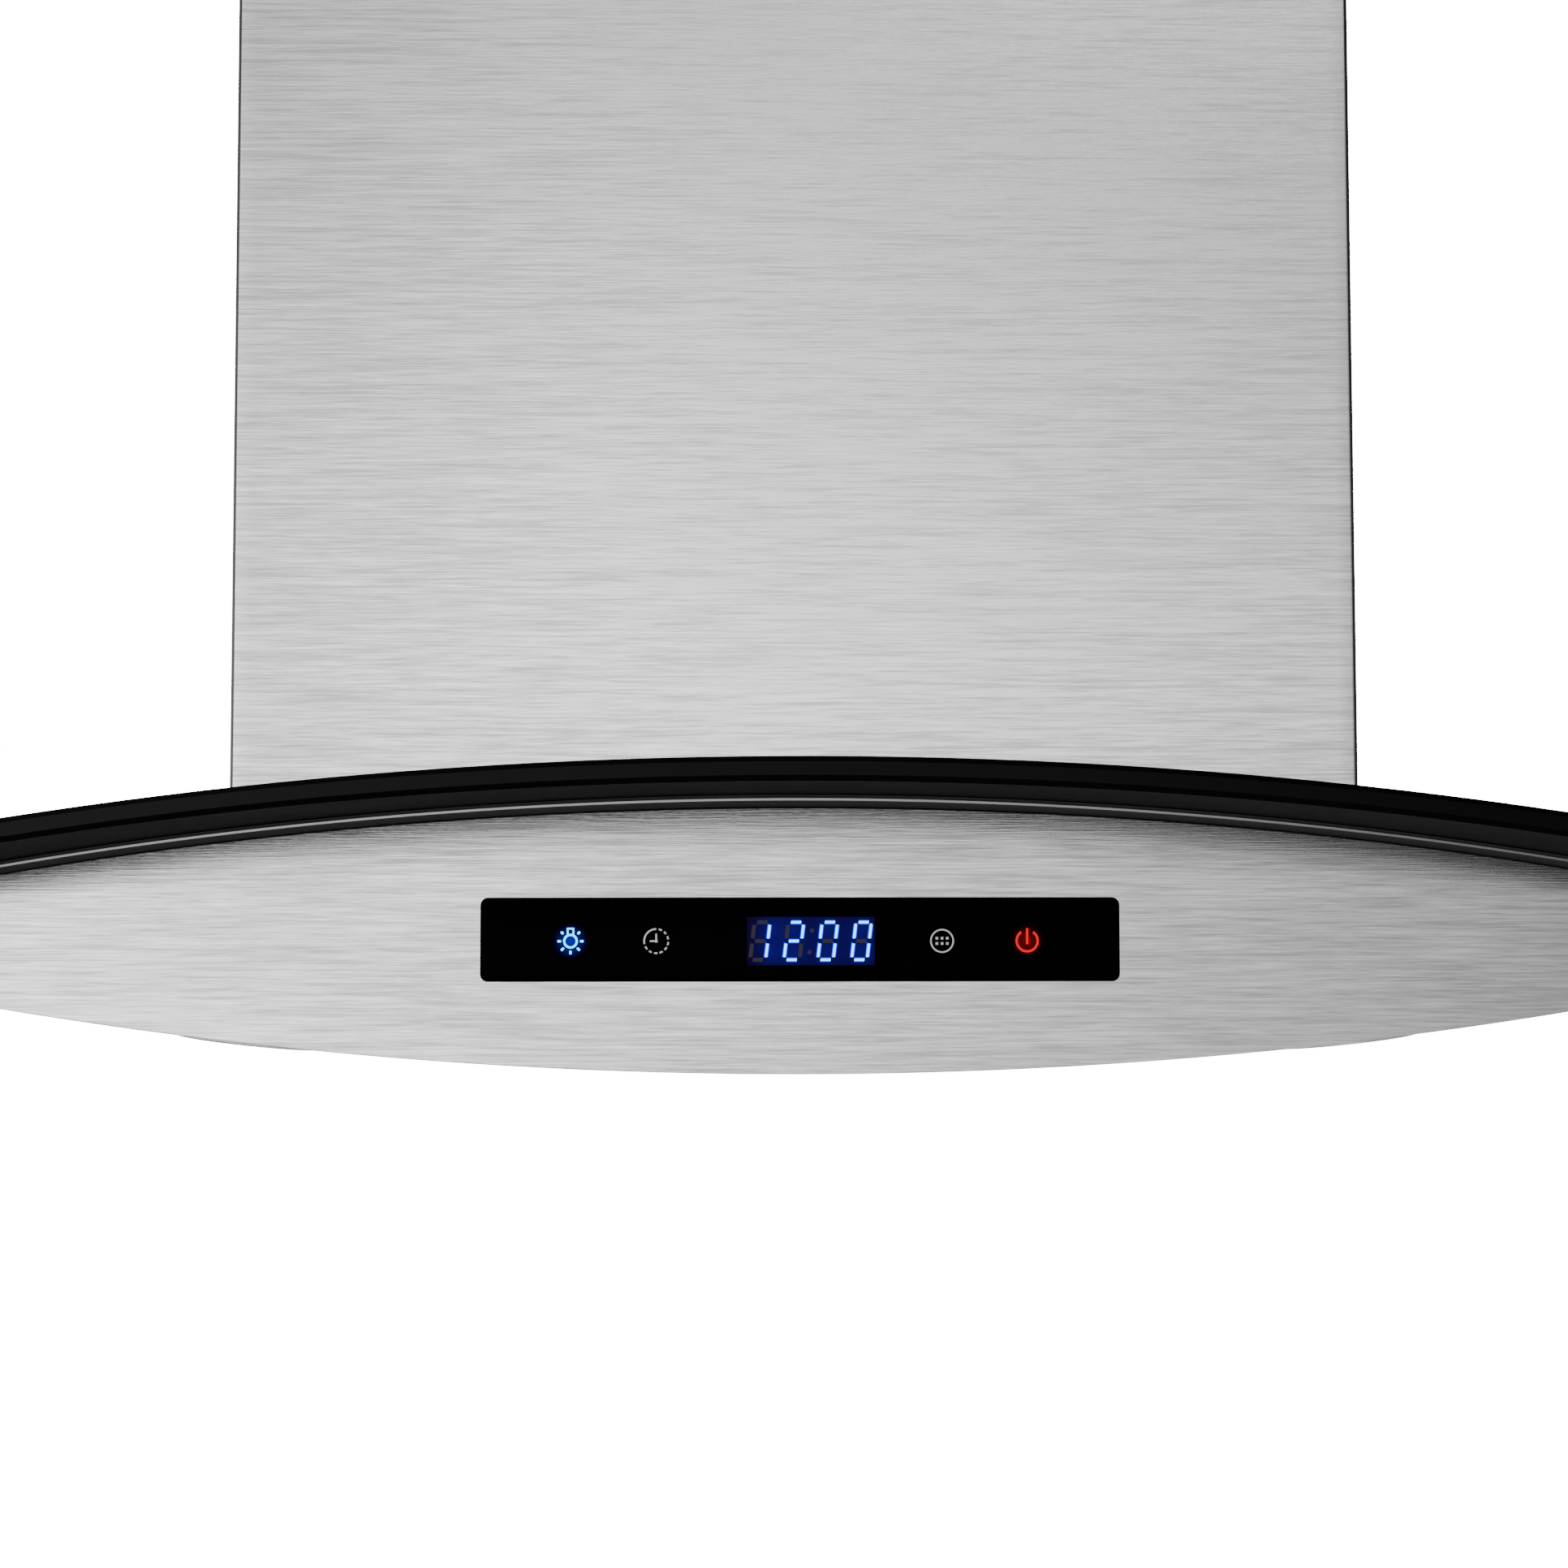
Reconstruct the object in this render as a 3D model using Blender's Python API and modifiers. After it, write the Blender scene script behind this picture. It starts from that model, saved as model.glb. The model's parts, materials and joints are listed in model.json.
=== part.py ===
"""Island range hood: arched glass canopy, lens-shaped steel body, telescopic flue covers and blower.

Units are metres and +Z is up. The origin is the middle of the ceiling plate's top face, and the hood hangs
below it in -Z. The width runs along X, the front faces -Y.
"""
import math

import bmesh
import bpy
from mathutils import Matrix

# ---------------------------------------------------------------- driving dimensions
GAP = 0.0003                    # between pieces that touch

GLASS_WIDTH = 0.900
GLASS_DEPTH = 0.600
GLASS_THICKNESS = 0.006
GLASS_CORNER = 0.012
ARCH_RADIUS = 1.310             # underside of the glass, arched about Y
BOW_RADIUS = 2.500              # front and rear edges of the glass, seen from above
CROWN_DROP = 0.880              # ceiling face down to the underside of the glass at its crown
CUTOUT_PLAY = 0.001             # round the posts, in the hole in the glass
CUTOUT_CORNER = 0.006

BODY_END_HEIGHT = 0.0105        # the lens is cut off where it gets this low
BODY_HEIGHT = 0.0690            # steel body at its middle, without the seal
OVERHANG = 0.053                # glass edge in front of the fascia
SEAL_HEIGHT = 0.0037
SHEET = 0.0012
FASCIA_RETURN = 0.014           # flange behind the fascia's edges

CONTROL_WIDTH = 0.1653
CONTROL_HEIGHT = 0.0212
CONTROL_CORNER = 0.0017
CONTROL_THICKNESS = 0.003
CONTROL_RISE = 0.0003           # above the middle of the body
DISPLAY_WIDTH = 0.034
DISPLAY_HEIGHT = 0.0135
BOARD_THICKNESS = 0.0016
DISPLAY_THICKNESS = 0.006
HOUSING_WALL = 0.0015
CONTROL_CLEARANCE = 0.002       # round the control housing

FLUE_WIDTH = 0.340              # lower flue cover
FLUE_DEPTH = 0.280
FLUE_TOP_DROP = 0.430           # ceiling face down to the lower cover's top
FLUE_WALL = 0.001
FLUE_BEND = 0.0018
FLUE_SLIDE_GAP = 0.001          # between the two covers
UPPER_FLUE_LENGTH = 0.550
VENT_LENGTH = 0.080
VENT_HEIGHT = 0.004
VENT_PITCH = 0.011
VENT_ROWS = 6
VENT_DROP = 0.050               # ceiling face down to the first vent

PLATE_THICKNESS = 0.0025
PLATE_FLANGE = 0.025
PLATE_PLAY = 0.001              # inside the upper flue cover
DUCT_HOLE = 0.170
KEYHOLE_INSET_X = 0.052         # from the flue cover's faces
KEYHOLE_INSET_Y = 0.035
KEYHOLE_WIDTH = 0.007
KEYHOLE_LENGTH = 0.018

POST_LEG = 0.025
POST_WALL = 0.002
POST_ROOM = 0.017               # between the upper posts and the upper flue cover
UPPER_POST_LENGTH = 0.590
LOWER_POST_TOP_DROP = 0.400
HEIGHT_TRAVEL = 0.080           # each way
HEIGHT_BOLT_DROP = 0.480
BOLT_DIAMETER = 0.005

CHASSIS_MARGIN = 0.020          # beyond the flue cover at each side
CHASSIS_WALL = 0.003
CHASSIS_ROOM = 0.0022           # under the fascias' top folds, at the chassis's ends
RIB_MARGIN = 0.025              # beyond the flue cover at front and rear
RIB_WALL = 0.002

BOX_PLAY = 0.0007               # between the blower box and the lower posts
BOX_HEIGHT = 0.250
SCROLL_WIDTH = 0.170
SCROLL_WALL = 0.0015
SCROLL_ROOM_REAR = 0.0118       # from the scroll's tongue side to the box
SCROLL_ROOM_FRONT = 0.0178      # from its outlet wall to the box
SCROLL_AXIS_Y = 0.022
SCROLL_FLOOR = 0.0085           # under the scroll
SCROLL_SWEEP = 220              # degrees from the tongue to the outlet wall
SCROLL_TONGUE = 40              # degrees above the rear
IMPELLER_PLAY = 0.010           # in the scroll at its tongue
INLET_LIP = 0.010               # of the scroll over the impeller's end ring
MOTOR_AIR = 0.016               # round the motor in the inlet
IMPELLER_RING = 0.007
IMPELLER_WIDTH = 0.150
BLADES = 20
MOTOR_LENGTH = 0.100
SHAFT_RADIUS = 0.004
BRACKET_HOLES = 8
COLLAR_DIAMETER = 0.149
COLLAR_WALL = 0.0015
COLLAR_HEIGHT = 0.058
FLAP_WALL = 0.001
PIN_RADIUS = 0.0015

POWER_WIDTH = 0.016
POWER_DEPTH = 0.120
POWER_HEIGHT = 0.150
GLAND_RADIUS = 0.007

FILTER_INNER_X = 0.018          # filter openings, from the middle plane
FILTER_SIDE = 0.020             # from the body's end to the opening
FILTER_SETBACK = 0.067          # from the fascia to the opening
FILTER_THICKNESS = 0.009
FILTER_PLAY = 0.001
FILTER_NOSE_PLAY = 0.0004       # between the filter's leaning free end and the well's wall
FILTER_RIM = 0.011
FILTER_BORDER = 0.014
LATCH_BORDER = 0.026
LATCH_WIDTH = 0.012
LATCH_LENGTH = 0.050
LATCH_DEPTH = 0.0035
LATCH_TRAVEL = 0.004
TONGUE_LENGTH = 0.024
TONGUE_THICKNESS = 0.0020
TONGUE_REACH = 0.0008           # past the rim of the filter well

LAMP_X = 0.150
LAMP_RADIUS = 0.017
LAMP_BEZEL = 0.020
LAMP_HEIGHT = 0.012

# ---------------------------------------------------------------- derived places
CROWN_Z = -CROWN_DROP
ARCH_Z = CROWN_Z - ARCH_RADIUS                      # centre line of the glass arch
BODY_TOP_Z = CROWN_Z - SEAL_HEIGHT
BODY_ARC = ARCH_RADIUS - SEAL_HEIGHT                # radius of the body's top and bottom arcs
BODY_BOTTOM_Z = BODY_TOP_Z - BODY_HEIGHT
BODY_RISE = (BODY_HEIGHT - BODY_END_HEIGHT) / 2     # of each arc from the middle to the ends
BODY_WIDTH = 2 * math.sqrt(BODY_ARC ** 2 - (BODY_ARC - BODY_RISE) ** 2)
BELLY_Z = BODY_BOTTOM_Z + BODY_ARC                  # centre line of the belly arc
BOW_Y = -GLASS_DEPTH / 2 + BOW_RADIUS               # centre of the front bow, seen from above
CHASSIS_WIDTH = FLUE_WIDTH + 2 * CHASSIS_MARGIN
CHASSIS_Z = ARCH_Z + math.sqrt(BODY_ARC ** 2 - (CHASSIS_WIDTH / 2) ** 2) - SHEET - CHASSIS_ROOM
RIB_SPACING = FLUE_DEPTH + 2 * RIB_MARGIN
COVER_STACK = 2 * FLUE_WALL + FLUE_SLIDE_GAP        # both flue covers and the gap between them
POST_X = FLUE_WIDTH - 2 * (COVER_STACK + POST_ROOM)
POST_Y = FLUE_DEPTH - 2 * (COVER_STACK + POST_ROOM)
LOWER_POST_X = POST_X - 2 * (POST_WALL + GAP)
LOWER_POST_Y = POST_Y - 2 * (POST_WALL + GAP)
CUTOUT_WIDTH = POST_X + 2 * CUTOUT_PLAY
CUTOUT_DEPTH = POST_Y + 2 * CUTOUT_PLAY
BOX_WIDTH = LOWER_POST_X - 2 * (POST_WALL + BOX_PLAY)
BOX_DEPTH = LOWER_POST_Y - 2 * (POST_WALL + BOX_PLAY)
BOX_TOP_Z = CHASSIS_Z + GAP + BOX_HEIGHT
SCROLL_START = BOX_DEPTH / 2 - SHEET - SCROLL_AXIS_Y - SCROLL_ROOM_REAR
SCROLL_END = BOX_DEPTH / 2 - SHEET + SCROLL_AXIS_Y - SCROLL_ROOM_FRONT
SCROLL_LOW = SCROLL_START + (SCROLL_END - SCROLL_START) * (90 + SCROLL_TONGUE) / SCROLL_SWEEP
SCROLL_AXIS_Z = CHASSIS_Z + SCROLL_FLOOR + SCROLL_LOW
IMPELLER_RADIUS = SCROLL_START - IMPELLER_PLAY
INLET_RADIUS = IMPELLER_RADIUS - INLET_LIP
MOTOR_RADIUS = INLET_RADIUS - MOTOR_AIR
COLLAR_BASE_Z = BOX_TOP_Z + GAP
CONTROL_Z = BODY_TOP_Z - BODY_HEIGHT / 2 + CONTROL_RISE
FILTER_OUTER_X = BODY_WIDTH / 2 - FILTER_SIDE
FILTER_DEPTH = GLASS_DEPTH - 2 * (OVERHANG + FILTER_SETBACK)
ARC_STEPS = 26
BOW_STEPS = 16


def glass_under(x):
    """Height of the glass underside at x."""
    return ARCH_Z + math.sqrt(ARCH_RADIUS ** 2 - x * x)


def glass_over(x):
    """Height of the glass top at x."""
    return ARCH_Z + math.sqrt((ARCH_RADIUS + GLASS_THICKNESS) ** 2 - x * x)


def body_top(x, inset=0.0):
    """Height of the body's top arc at x, moved in by inset."""
    return ARCH_Z + math.sqrt((BODY_ARC - inset) ** 2 - x * x)


def belly(x, inset=0.0):
    """Height of the body's bottom arc at x, moved in by inset."""
    return BELLY_Z - math.sqrt((BODY_ARC - inset) ** 2 - x * x)


def bow(x, setback):
    """Distance from the middle plane to the bowed edge at x, moved in by setback."""
    return math.sqrt((BOW_RADIUS - setback) ** 2 - x * x) - BOW_Y


# ---------------------------------------------------------------- scene helpers
def clear_scene():
    for item in list(bpy.data.objects):
        bpy.data.objects.remove(item, do_unlink=True)


def new_collection(name):
    group = bpy.data.collections.new(name)
    bpy.context.scene.collection.children.link(group)
    return group


def new_material(name, colour, roughness, metallic):
    material = bpy.data.materials.new(name)
    material.use_nodes = True
    shader = material.node_tree.nodes["Principled BSDF"]
    shader.inputs["Base Color"].default_value = (*colour, 1.0)
    shader.inputs["Roughness"].default_value = roughness
    shader.inputs["Metallic"].default_value = metallic
    material.diffuse_color = (*colour, 1.0)
    return material


def put(item, name, finish=None):
    """Name an object and file it with the hood's parts, or with the cutters when it has no finish."""
    for group in list(item.users_collection):
        group.objects.unlink(item)
    item.name = name
    item.data.name = name
    if finish is None:
        CUTTERS.objects.link(item)
        item.hide_render = True
        item.display_type = "WIRE"
    else:
        PARTS.objects.link(item)
        item.data.materials.clear()
        item.data.materials.append(new_material(name + "_finish", *FINISHES[finish]))
    return item


def box(name, low, high, finish=None):
    """A box between two corners."""
    middle = [(a + b) / 2 for a, b in zip(low, high)]
    bpy.ops.mesh.primitive_cube_add(size=1.0, location=middle)
    item = bpy.context.object
    item.data.transform(Matrix.Diagonal([b - a for a, b in zip(low, high)] + [1.0]))
    return put(item, name, finish)


def rod(name, centre, radius, length, axis="Z", finish=None, sides=32):
    """A round bar about an axis through its centre."""
    turn = {"X": (0, math.pi / 2, 0), "Y": (math.pi / 2, 0, 0), "Z": (0, 0, 0)}[axis]
    bpy.ops.mesh.primitive_cylinder_add(vertices=sides, radius=radius, depth=length, location=centre, rotation=turn)
    item = bpy.context.object
    put(item, name, finish)
    item.data.shade_smooth()
    item.data.set_sharp_from_angle(angle=math.radians(35))
    return item


def outline(name, points, low, high, upright=False, finish=None):
    """A flat closed outline given a thickness: drawn in X and Y between two heights, or, when upright,
    drawn in X and Z between two depths."""
    curve = bpy.data.curves.new(name, "CURVE")
    curve.dimensions = "2D"
    curve.fill_mode = "BOTH"
    curve.extrude = (high - low) / 2
    curve.render_resolution_u = 0
    spline = curve.splines.new("POLY")
    spline.points.add(len(points) - 1)
    for point, (a, b) in zip(spline.points, points):
        point.co = (a, b, 0.0, 1.0)
    spline.use_cyclic_u = True
    drawn = bpy.data.objects.new(name + "_drawn", curve)
    bpy.context.scene.collection.objects.link(drawn)
    if upright:
        drawn.matrix_world = Matrix.Translation((0, (low + high) / 2, 0)) @ Matrix.Rotation(math.pi / 2, 4, "X")
    else:
        drawn.matrix_world = Matrix.Translation((0, 0, (low + high) / 2))
    return meshed(drawn, name, finish)


def meshed(drawn, name, finish):
    """Turn a curve or an unfinished object into a welded mesh in world coordinates."""
    bpy.context.view_layer.update()
    place = drawn.matrix_world.copy()
    mesh = bpy.data.meshes.new_from_object(drawn.evaluated_get(bpy.context.evaluated_depsgraph_get()))
    mesh.transform(place)
    bpy.data.objects.remove(drawn, do_unlink=True)
    shape = bmesh.new()
    shape.from_mesh(mesh)
    bmesh.ops.remove_doubles(shape, verts=shape.verts, dist=1e-6)
    bmesh.ops.dissolve_limit(shape, angle_limit=math.radians(0.05), verts=shape.verts, edges=shape.edges)
    bmesh.ops.recalc_face_normals(shape, faces=shape.faces)
    shape.to_mesh(mesh)
    shape.free()
    item = bpy.data.objects.new(name, mesh)
    bpy.context.scene.collection.objects.link(item)
    return put(item, name, finish)


def turned(name, profile, place, finish=None, steps=32):
    """A profile of (radius, height) pairs from the axis at the top, down the outer side and back to the axis,
    turned about Z. A closed profile that keeps off the axis makes a ring."""
    mesh = bpy.data.meshes.new(name)
    count = len(profile)
    ring = profile[0][0] > 0
    edges = [(i, i + 1) for i in range(count - 1)] + ([(count - 1, 0)] if ring else [])
    mesh.from_pydata([(r, 0, z) for r, z in profile], edges, [])
    item = bpy.data.objects.new(name, mesh)
    bpy.context.scene.collection.objects.link(item)
    put(item, name, finish)
    item.location = place
    screw = item.modifiers.new("Turn", "SCREW")
    screw.steps = steps
    screw.render_steps = steps
    screw.use_merge_vertices = True
    screw.merge_threshold = 1e-6
    screw.use_smooth_shade = False
    return item


def combine(item, other, operation):
    """Cut, join or keep the common part, with a live Boolean."""
    change = item.modifiers.new(operation.title(), "BOOLEAN")
    change.operation = operation
    change.object = other
    return item


def cut(item, *others):
    for other in others:
        combine(item, other, "DIFFERENCE")
    return item


def join(item, *others):
    for other in others:
        combine(item, other, "UNION")
    return item


def upright_bevel(item, radius, segments=4):
    """Round the vertical edges at the sharp corners of a prism."""
    shape = bmesh.new()
    shape.from_mesh(item.data)
    corners = []
    for edge in shape.edges:
        a, b = edge.verts
        upright = abs(a.co.x - b.co.x) < 1e-6 and abs(a.co.y - b.co.y) < 1e-6
        if upright and len(edge.link_faces) == 2 and edge.calc_face_angle() > math.radians(45):
            corners.append(edge)
    bmesh.ops.bevel(shape, geom=corners, offset=radius, segments=segments, profile=0.5, affect="EDGES")
    shape.to_mesh(item.data)
    shape.free()
    return item


def spread(half, steps=ARC_STEPS):
    """Even places from -half to +half."""
    return [-half + 2 * half * i / steps for i in range(steps + 1)]


def plan_prism(name, half_width, setback, low, high, finish=None):
    """The hood's plan shape, bowed at front and rear, between two heights."""
    xs = spread(half_width, BOW_STEPS)
    front = [(x, -bow(x, setback)) for x in xs]
    rear = [(x, bow(x, setback)) for x in reversed(xs)]
    return outline(name, front + rear, low, high, finish=finish)


def bow_slab(name, side, half_width, near, far, finish=None):
    """An upright slab that follows the front or rear bow, between two setbacks, as tall as the hood's body."""
    xs = spread(half_width, BOW_STEPS)
    outer = [(x, side * bow(x, near)) for x in xs]
    inner = [(x, side * bow(x, far)) for x in reversed(xs)]
    return outline(name, outer + inner, CROWN_Z - 0.2, CROWN_Z + 0.05, finish=finish)


def arch_prism(name, lower, upper, half_width, low, high, finish=None, centre=0.0):
    """A shape between two curves of x, seen from the front, between two depths."""
    xs = [centre + x for x in spread(half_width)]
    points = [(x, upper(x)) for x in xs] + [(x, lower(x)) for x in reversed(xs)]
    return outline(name, points, low, high, upright=True, finish=finish)


def rounded_rectangle(width, height, radius, centre=(0.0, 0.0), steps=4):
    """Corner points of a rectangle with round corners."""
    points = []
    for quarter, (sx, sy) in enumerate(((1, 1), (-1, 1), (-1, -1), (1, -1))):
        cx = centre[0] + sx * (width / 2 - radius)
        cy = centre[1] + sy * (height / 2 - radius)
        for i in range(steps + 1):
            angle = math.pi / 2 * (quarter + i / steps)
            points.append((cx + radius * math.cos(angle), cy + radius * math.sin(angle)))
    return points


# ---------------------------------------------------------------- ceiling side
def ceiling_plate():
    half_x = FLUE_WIDTH / 2 - COVER_STACK - PLATE_PLAY
    half_y = FLUE_DEPTH / 2 - COVER_STACK - PLATE_PLAY
    plate = box("ceiling_plate", (-half_x, -half_y, -PLATE_FLANGE), (half_x, half_y, 0), "zinc")
    inner_x, inner_y = half_x - PLATE_THICKNESS, half_y - PLATE_THICKNESS
    hollow = box("cut_plate_hollow", (-inner_x, -inner_y, -PLATE_FLANGE - 0.01), (inner_x, inner_y, -PLATE_THICKNESS))
    cut(plate, hollow, rod("cut_plate_duct", (0, 0, 0), DUCT_HOLE / 2, 0.02, sides=48))
    for sx in (-1, 1):
        for sy in (-1, 1):
            x, y = sx * (FLUE_WIDTH / 2 - KEYHOLE_INSET_X), sy * (FLUE_DEPTH / 2 - KEYHOLE_INSET_Y)
            slot = rod("cut_keyhole", (x, y, 0), KEYHOLE_WIDTH, 0.02, sides=16)
            low, high = sorted((y, y - sy * KEYHOLE_LENGTH))
            neck = box("cut_keyhole_neck", (x - KEYHOLE_WIDTH / 2, low, -0.01), (x + KEYHOLE_WIDTH / 2, high, 0.01))
            cut(plate, slot, neck)


def angle_post(name, sx, sy, face_x, face_y, low, high, finish):
    """An L section with its outer faces at face_x and face_y, in the corner sx, sy."""
    leg, wall = POST_LEG, POST_WALL
    points = [(face_x, face_y), (face_x - leg, face_y), (face_x - leg, face_y - wall),
              (face_x - wall, face_y - wall), (face_x - wall, face_y - leg), (face_x, face_y - leg)]
    return outline(name, [(sx * x, sy * y) for x, y in points], low, high, finish=finish)


def corner_names():
    for sx, side in ((-1, "left"), (1, "right")):
        for sy, end in ((-1, "front"), (1, "rear")):
            yield sx, sy, end + "_" + side


def telescopic_frame():
    """Four posts under the ceiling plate, four on the hood, and the bolts that clamp them in the slots."""
    inner_x, inner_y = LOWER_POST_X / 2, LOWER_POST_Y / 2
    slot_half = HEIGHT_TRAVEL + BOLT_DIAMETER / 2 + 0.001
    for sx, sy, corner in corner_names():
        bolt_y = sy * (POST_Y / 2 - POST_LEG * 0.6)
        upper = angle_post("upper_post_" + corner, sx, sy, POST_X / 2, POST_Y / 2,
                           -UPPER_POST_LENGTH, -PLATE_THICKNESS - GAP, "zinc")
        slot_width = BOLT_DIAMETER + 0.0006
        slot = box("cut_post_slot", (sx * POST_X / 2 - 0.01, bolt_y - slot_width / 2, -HEIGHT_BOLT_DROP - slot_half),
                   (sx * POST_X / 2 + 0.01, bolt_y + slot_width / 2, -HEIGHT_BOLT_DROP + slot_half))
        cut(upper, slot)
        lower = angle_post("lower_post_" + corner, sx, sy, inner_x, inner_y,
                           CHASSIS_Z + GAP, -LOWER_POST_TOP_DROP, "zinc")
        cut(lower, rod("cut_post_hole", (sx * inner_x, bolt_y, -HEIGHT_BOLT_DROP),
                       BOLT_DIAMETER / 2 + GAP, 0.02, "X", sides=16))
        height_bolt("height_bolt_" + corner, sx, bolt_y, inner_x)


def height_bolt(name, sx, y, inner_x):
    """A hexagon-headed bolt with its nut, along X through both posts."""
    outer = POST_X / 2 + GAP
    inner = inner_x - POST_WALL - GAP
    radius = BOLT_DIAMETER / 2
    profile = [(0, outer + 0.0036), (0.0042, outer + 0.0036), (0.0046, outer + 0.0032), (0.0046, outer),
               (radius, outer), (radius, inner), (0.0046, inner), (0.0046, inner - 0.004),
               (radius, inner - 0.004), (radius, inner - 0.0065), (0, inner - 0.0065)]
    bolt = turned(name, profile, (0, y, -HEIGHT_BOLT_DROP), "zinc", steps=10)
    bolt.rotation_euler = (0, sx * math.pi / 2, 0)


def flue_half(name, half_x, half_y, side, low, high):
    """A bent sheet with a front or rear wall and two side wings that meet the other half at the middle."""
    wall, bend, seam = FLUE_WALL, FLUE_BEND, 0.00015

    def run(inset, radius):
        x, y = half_x - inset, half_y - inset
        points = [(-x, seam)]
        for start, cx in ((180, -x + radius), (90, x - radius)):
            for i in range(4):
                angle = math.radians(start - 30 * i)
                points.append((cx + radius * math.cos(angle), y - radius + radius * math.sin(angle)))
        points.append((x, seam))
        return points

    points = run(0, bend) + list(reversed(run(wall, bend - wall)))
    return outline(name, [(x, side * y) for x, y in points], low, high, finish="steel")


def flue_covers():
    """The upper cover hangs from the ceiling plate and the lower one stands on the glass."""
    lower_x, lower_y = FLUE_WIDTH / 2, FLUE_DEPTH / 2
    upper_x, upper_y = lower_x - FLUE_WALL - FLUE_SLIDE_GAP, lower_y - FLUE_WALL - FLUE_SLIDE_GAP
    arch = arch_prism("cut_flue_foot", lambda x: CROWN_Z - 0.15, lambda x: glass_over(x) + GAP,
                      FLUE_WIDTH * 0.6, -FLUE_DEPTH, FLUE_DEPTH)
    for side, end in ((-1, "front"), (1, "rear")):
        lower = flue_half("lower_flue_cover_" + end, lower_x, lower_y, side, CROWN_Z - 0.05, -FLUE_TOP_DROP)
        cut(lower, arch)
        upper = flue_half("upper_flue_cover_" + end, upper_x, upper_y, side, -UPPER_FLUE_LENGTH, -GAP)
        middle = side * upper_y / 2
        for row in range(VENT_ROWS):
            z = -VENT_DROP - row * VENT_PITCH
            cut(upper, box("cut_vent", (-upper_x - 0.01, middle - VENT_LENGTH / 2, z - VENT_HEIGHT),
                           (upper_x + 0.01, middle + VENT_LENGTH / 2, z)))


# ---------------------------------------------------------------- glass and body
def canopy_glass():
    glass = plan_prism("canopy_glass", GLASS_WIDTH / 2, 0.0, CROWN_Z - 0.15, CROWN_Z + 0.05, "glass")
    upright_bevel(glass, GLASS_CORNER)
    combine(glass, arch_prism("cut_glass_arch", glass_under, glass_over, GLASS_WIDTH / 2 + 0.02,
                              -GLASS_DEPTH, GLASS_DEPTH), "INTERSECT")
    hole = box("cut_glass_hole", (-CUTOUT_WIDTH / 2, -CUTOUT_DEPTH / 2, CROWN_Z - 0.1),
               (CUTOUT_WIDTH / 2, CUTOUT_DEPTH / 2, CROWN_Z + 0.1))
    cut(glass, upright_bevel(hole, CUTOUT_CORNER))
    clamp_x, clamp_y = clamp_place()
    for sx, sy, corner in corner_names():
        cut(glass, rod("cut_glass_screw", (sx * clamp_x, sy * clamp_y, CROWN_Z), 0.0031, 0.1, sides=16))
        clamp_screw("glass_screw_" + corner, sx * clamp_x, sy * clamp_y)


def clamp_place():
    """The glass screws stand between the cut-out and the flue cover's wall."""
    return ((CUTOUT_WIDTH + FLUE_WIDTH) / 4, (CUTOUT_DEPTH + FLUE_DEPTH) / 4)


def clamp_screw(name, x, y):
    """A pan-head screw with its sleeve and nut, which clamps the glass to the chassis."""
    slope = 0.0009                  # room for the glass's tilt under the round head
    top, under = glass_over(abs(x)) + slope, glass_under(abs(x)) - slope
    foot, nut = CHASSIS_Z + GAP, CHASSIS_Z - CHASSIS_WALL - GAP
    shank = 0.0025
    profile = [(0, top + 0.003), (0.003, top + 0.0027), (0.0046, top + 0.0012), (0.005, top), (shank, top),
               (shank, under), (0.0046, under), (0.0046, foot), (shank, foot), (shank, nut),
               (0.0044, nut), (0.0044, nut - 0.004), (0, nut - 0.004)]
    turned(name, profile, (x, y, 0), "zinc", steps=10)


def seals_and_fascias():
    """The front and rear of the lens-shaped body, each a tray with a return all round, and the seal on top."""
    half = BODY_WIDTH / 2
    for side, end in ((-1, "front"), (1, "rear")):
        fascia = bow_slab("fascia_" + end, side, half, OVERHANG, OVERHANG + FASCIA_RETURN, "steel")
        combine(fascia, arch_prism("cut_lens", belly, body_top, half + 0.001, -0.3, 0.3), "INTERSECT")
        hollow = arch_prism("cut_lens_inner", lambda x: belly(x, SHEET), lambda x: body_top(x, SHEET),
                            half - SHEET, -0.3, 0.3)
        inner = bow_slab("cut_fascia_inner", side, half + 0.01, OVERHANG + SHEET, OVERHANG + FASCIA_RETURN + 0.005)
        combine(hollow, inner, "INTERSECT")
        cut(fascia, hollow)
        if side < 0:
            window = rounded_rectangle(CONTROL_WIDTH + 2 * GAP, CONTROL_HEIGHT + 2 * GAP, CONTROL_CORNER + GAP,
                                       (0, CONTROL_Z))
            cut(fascia, outline("cut_control_window", window, -0.3, -0.2, upright=True))
        seal = bow_slab("seal_" + end, side, half - 0.002, OVERHANG + 0.0015, OVERHANG + 0.0115, "rubber")
        combine(seal, arch_prism("cut_seal", lambda x: body_top(x) + GAP, lambda x: glass_under(x) - GAP,
                                 half + 0.01, -0.3, 0.3), "INTERSECT")


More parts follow.
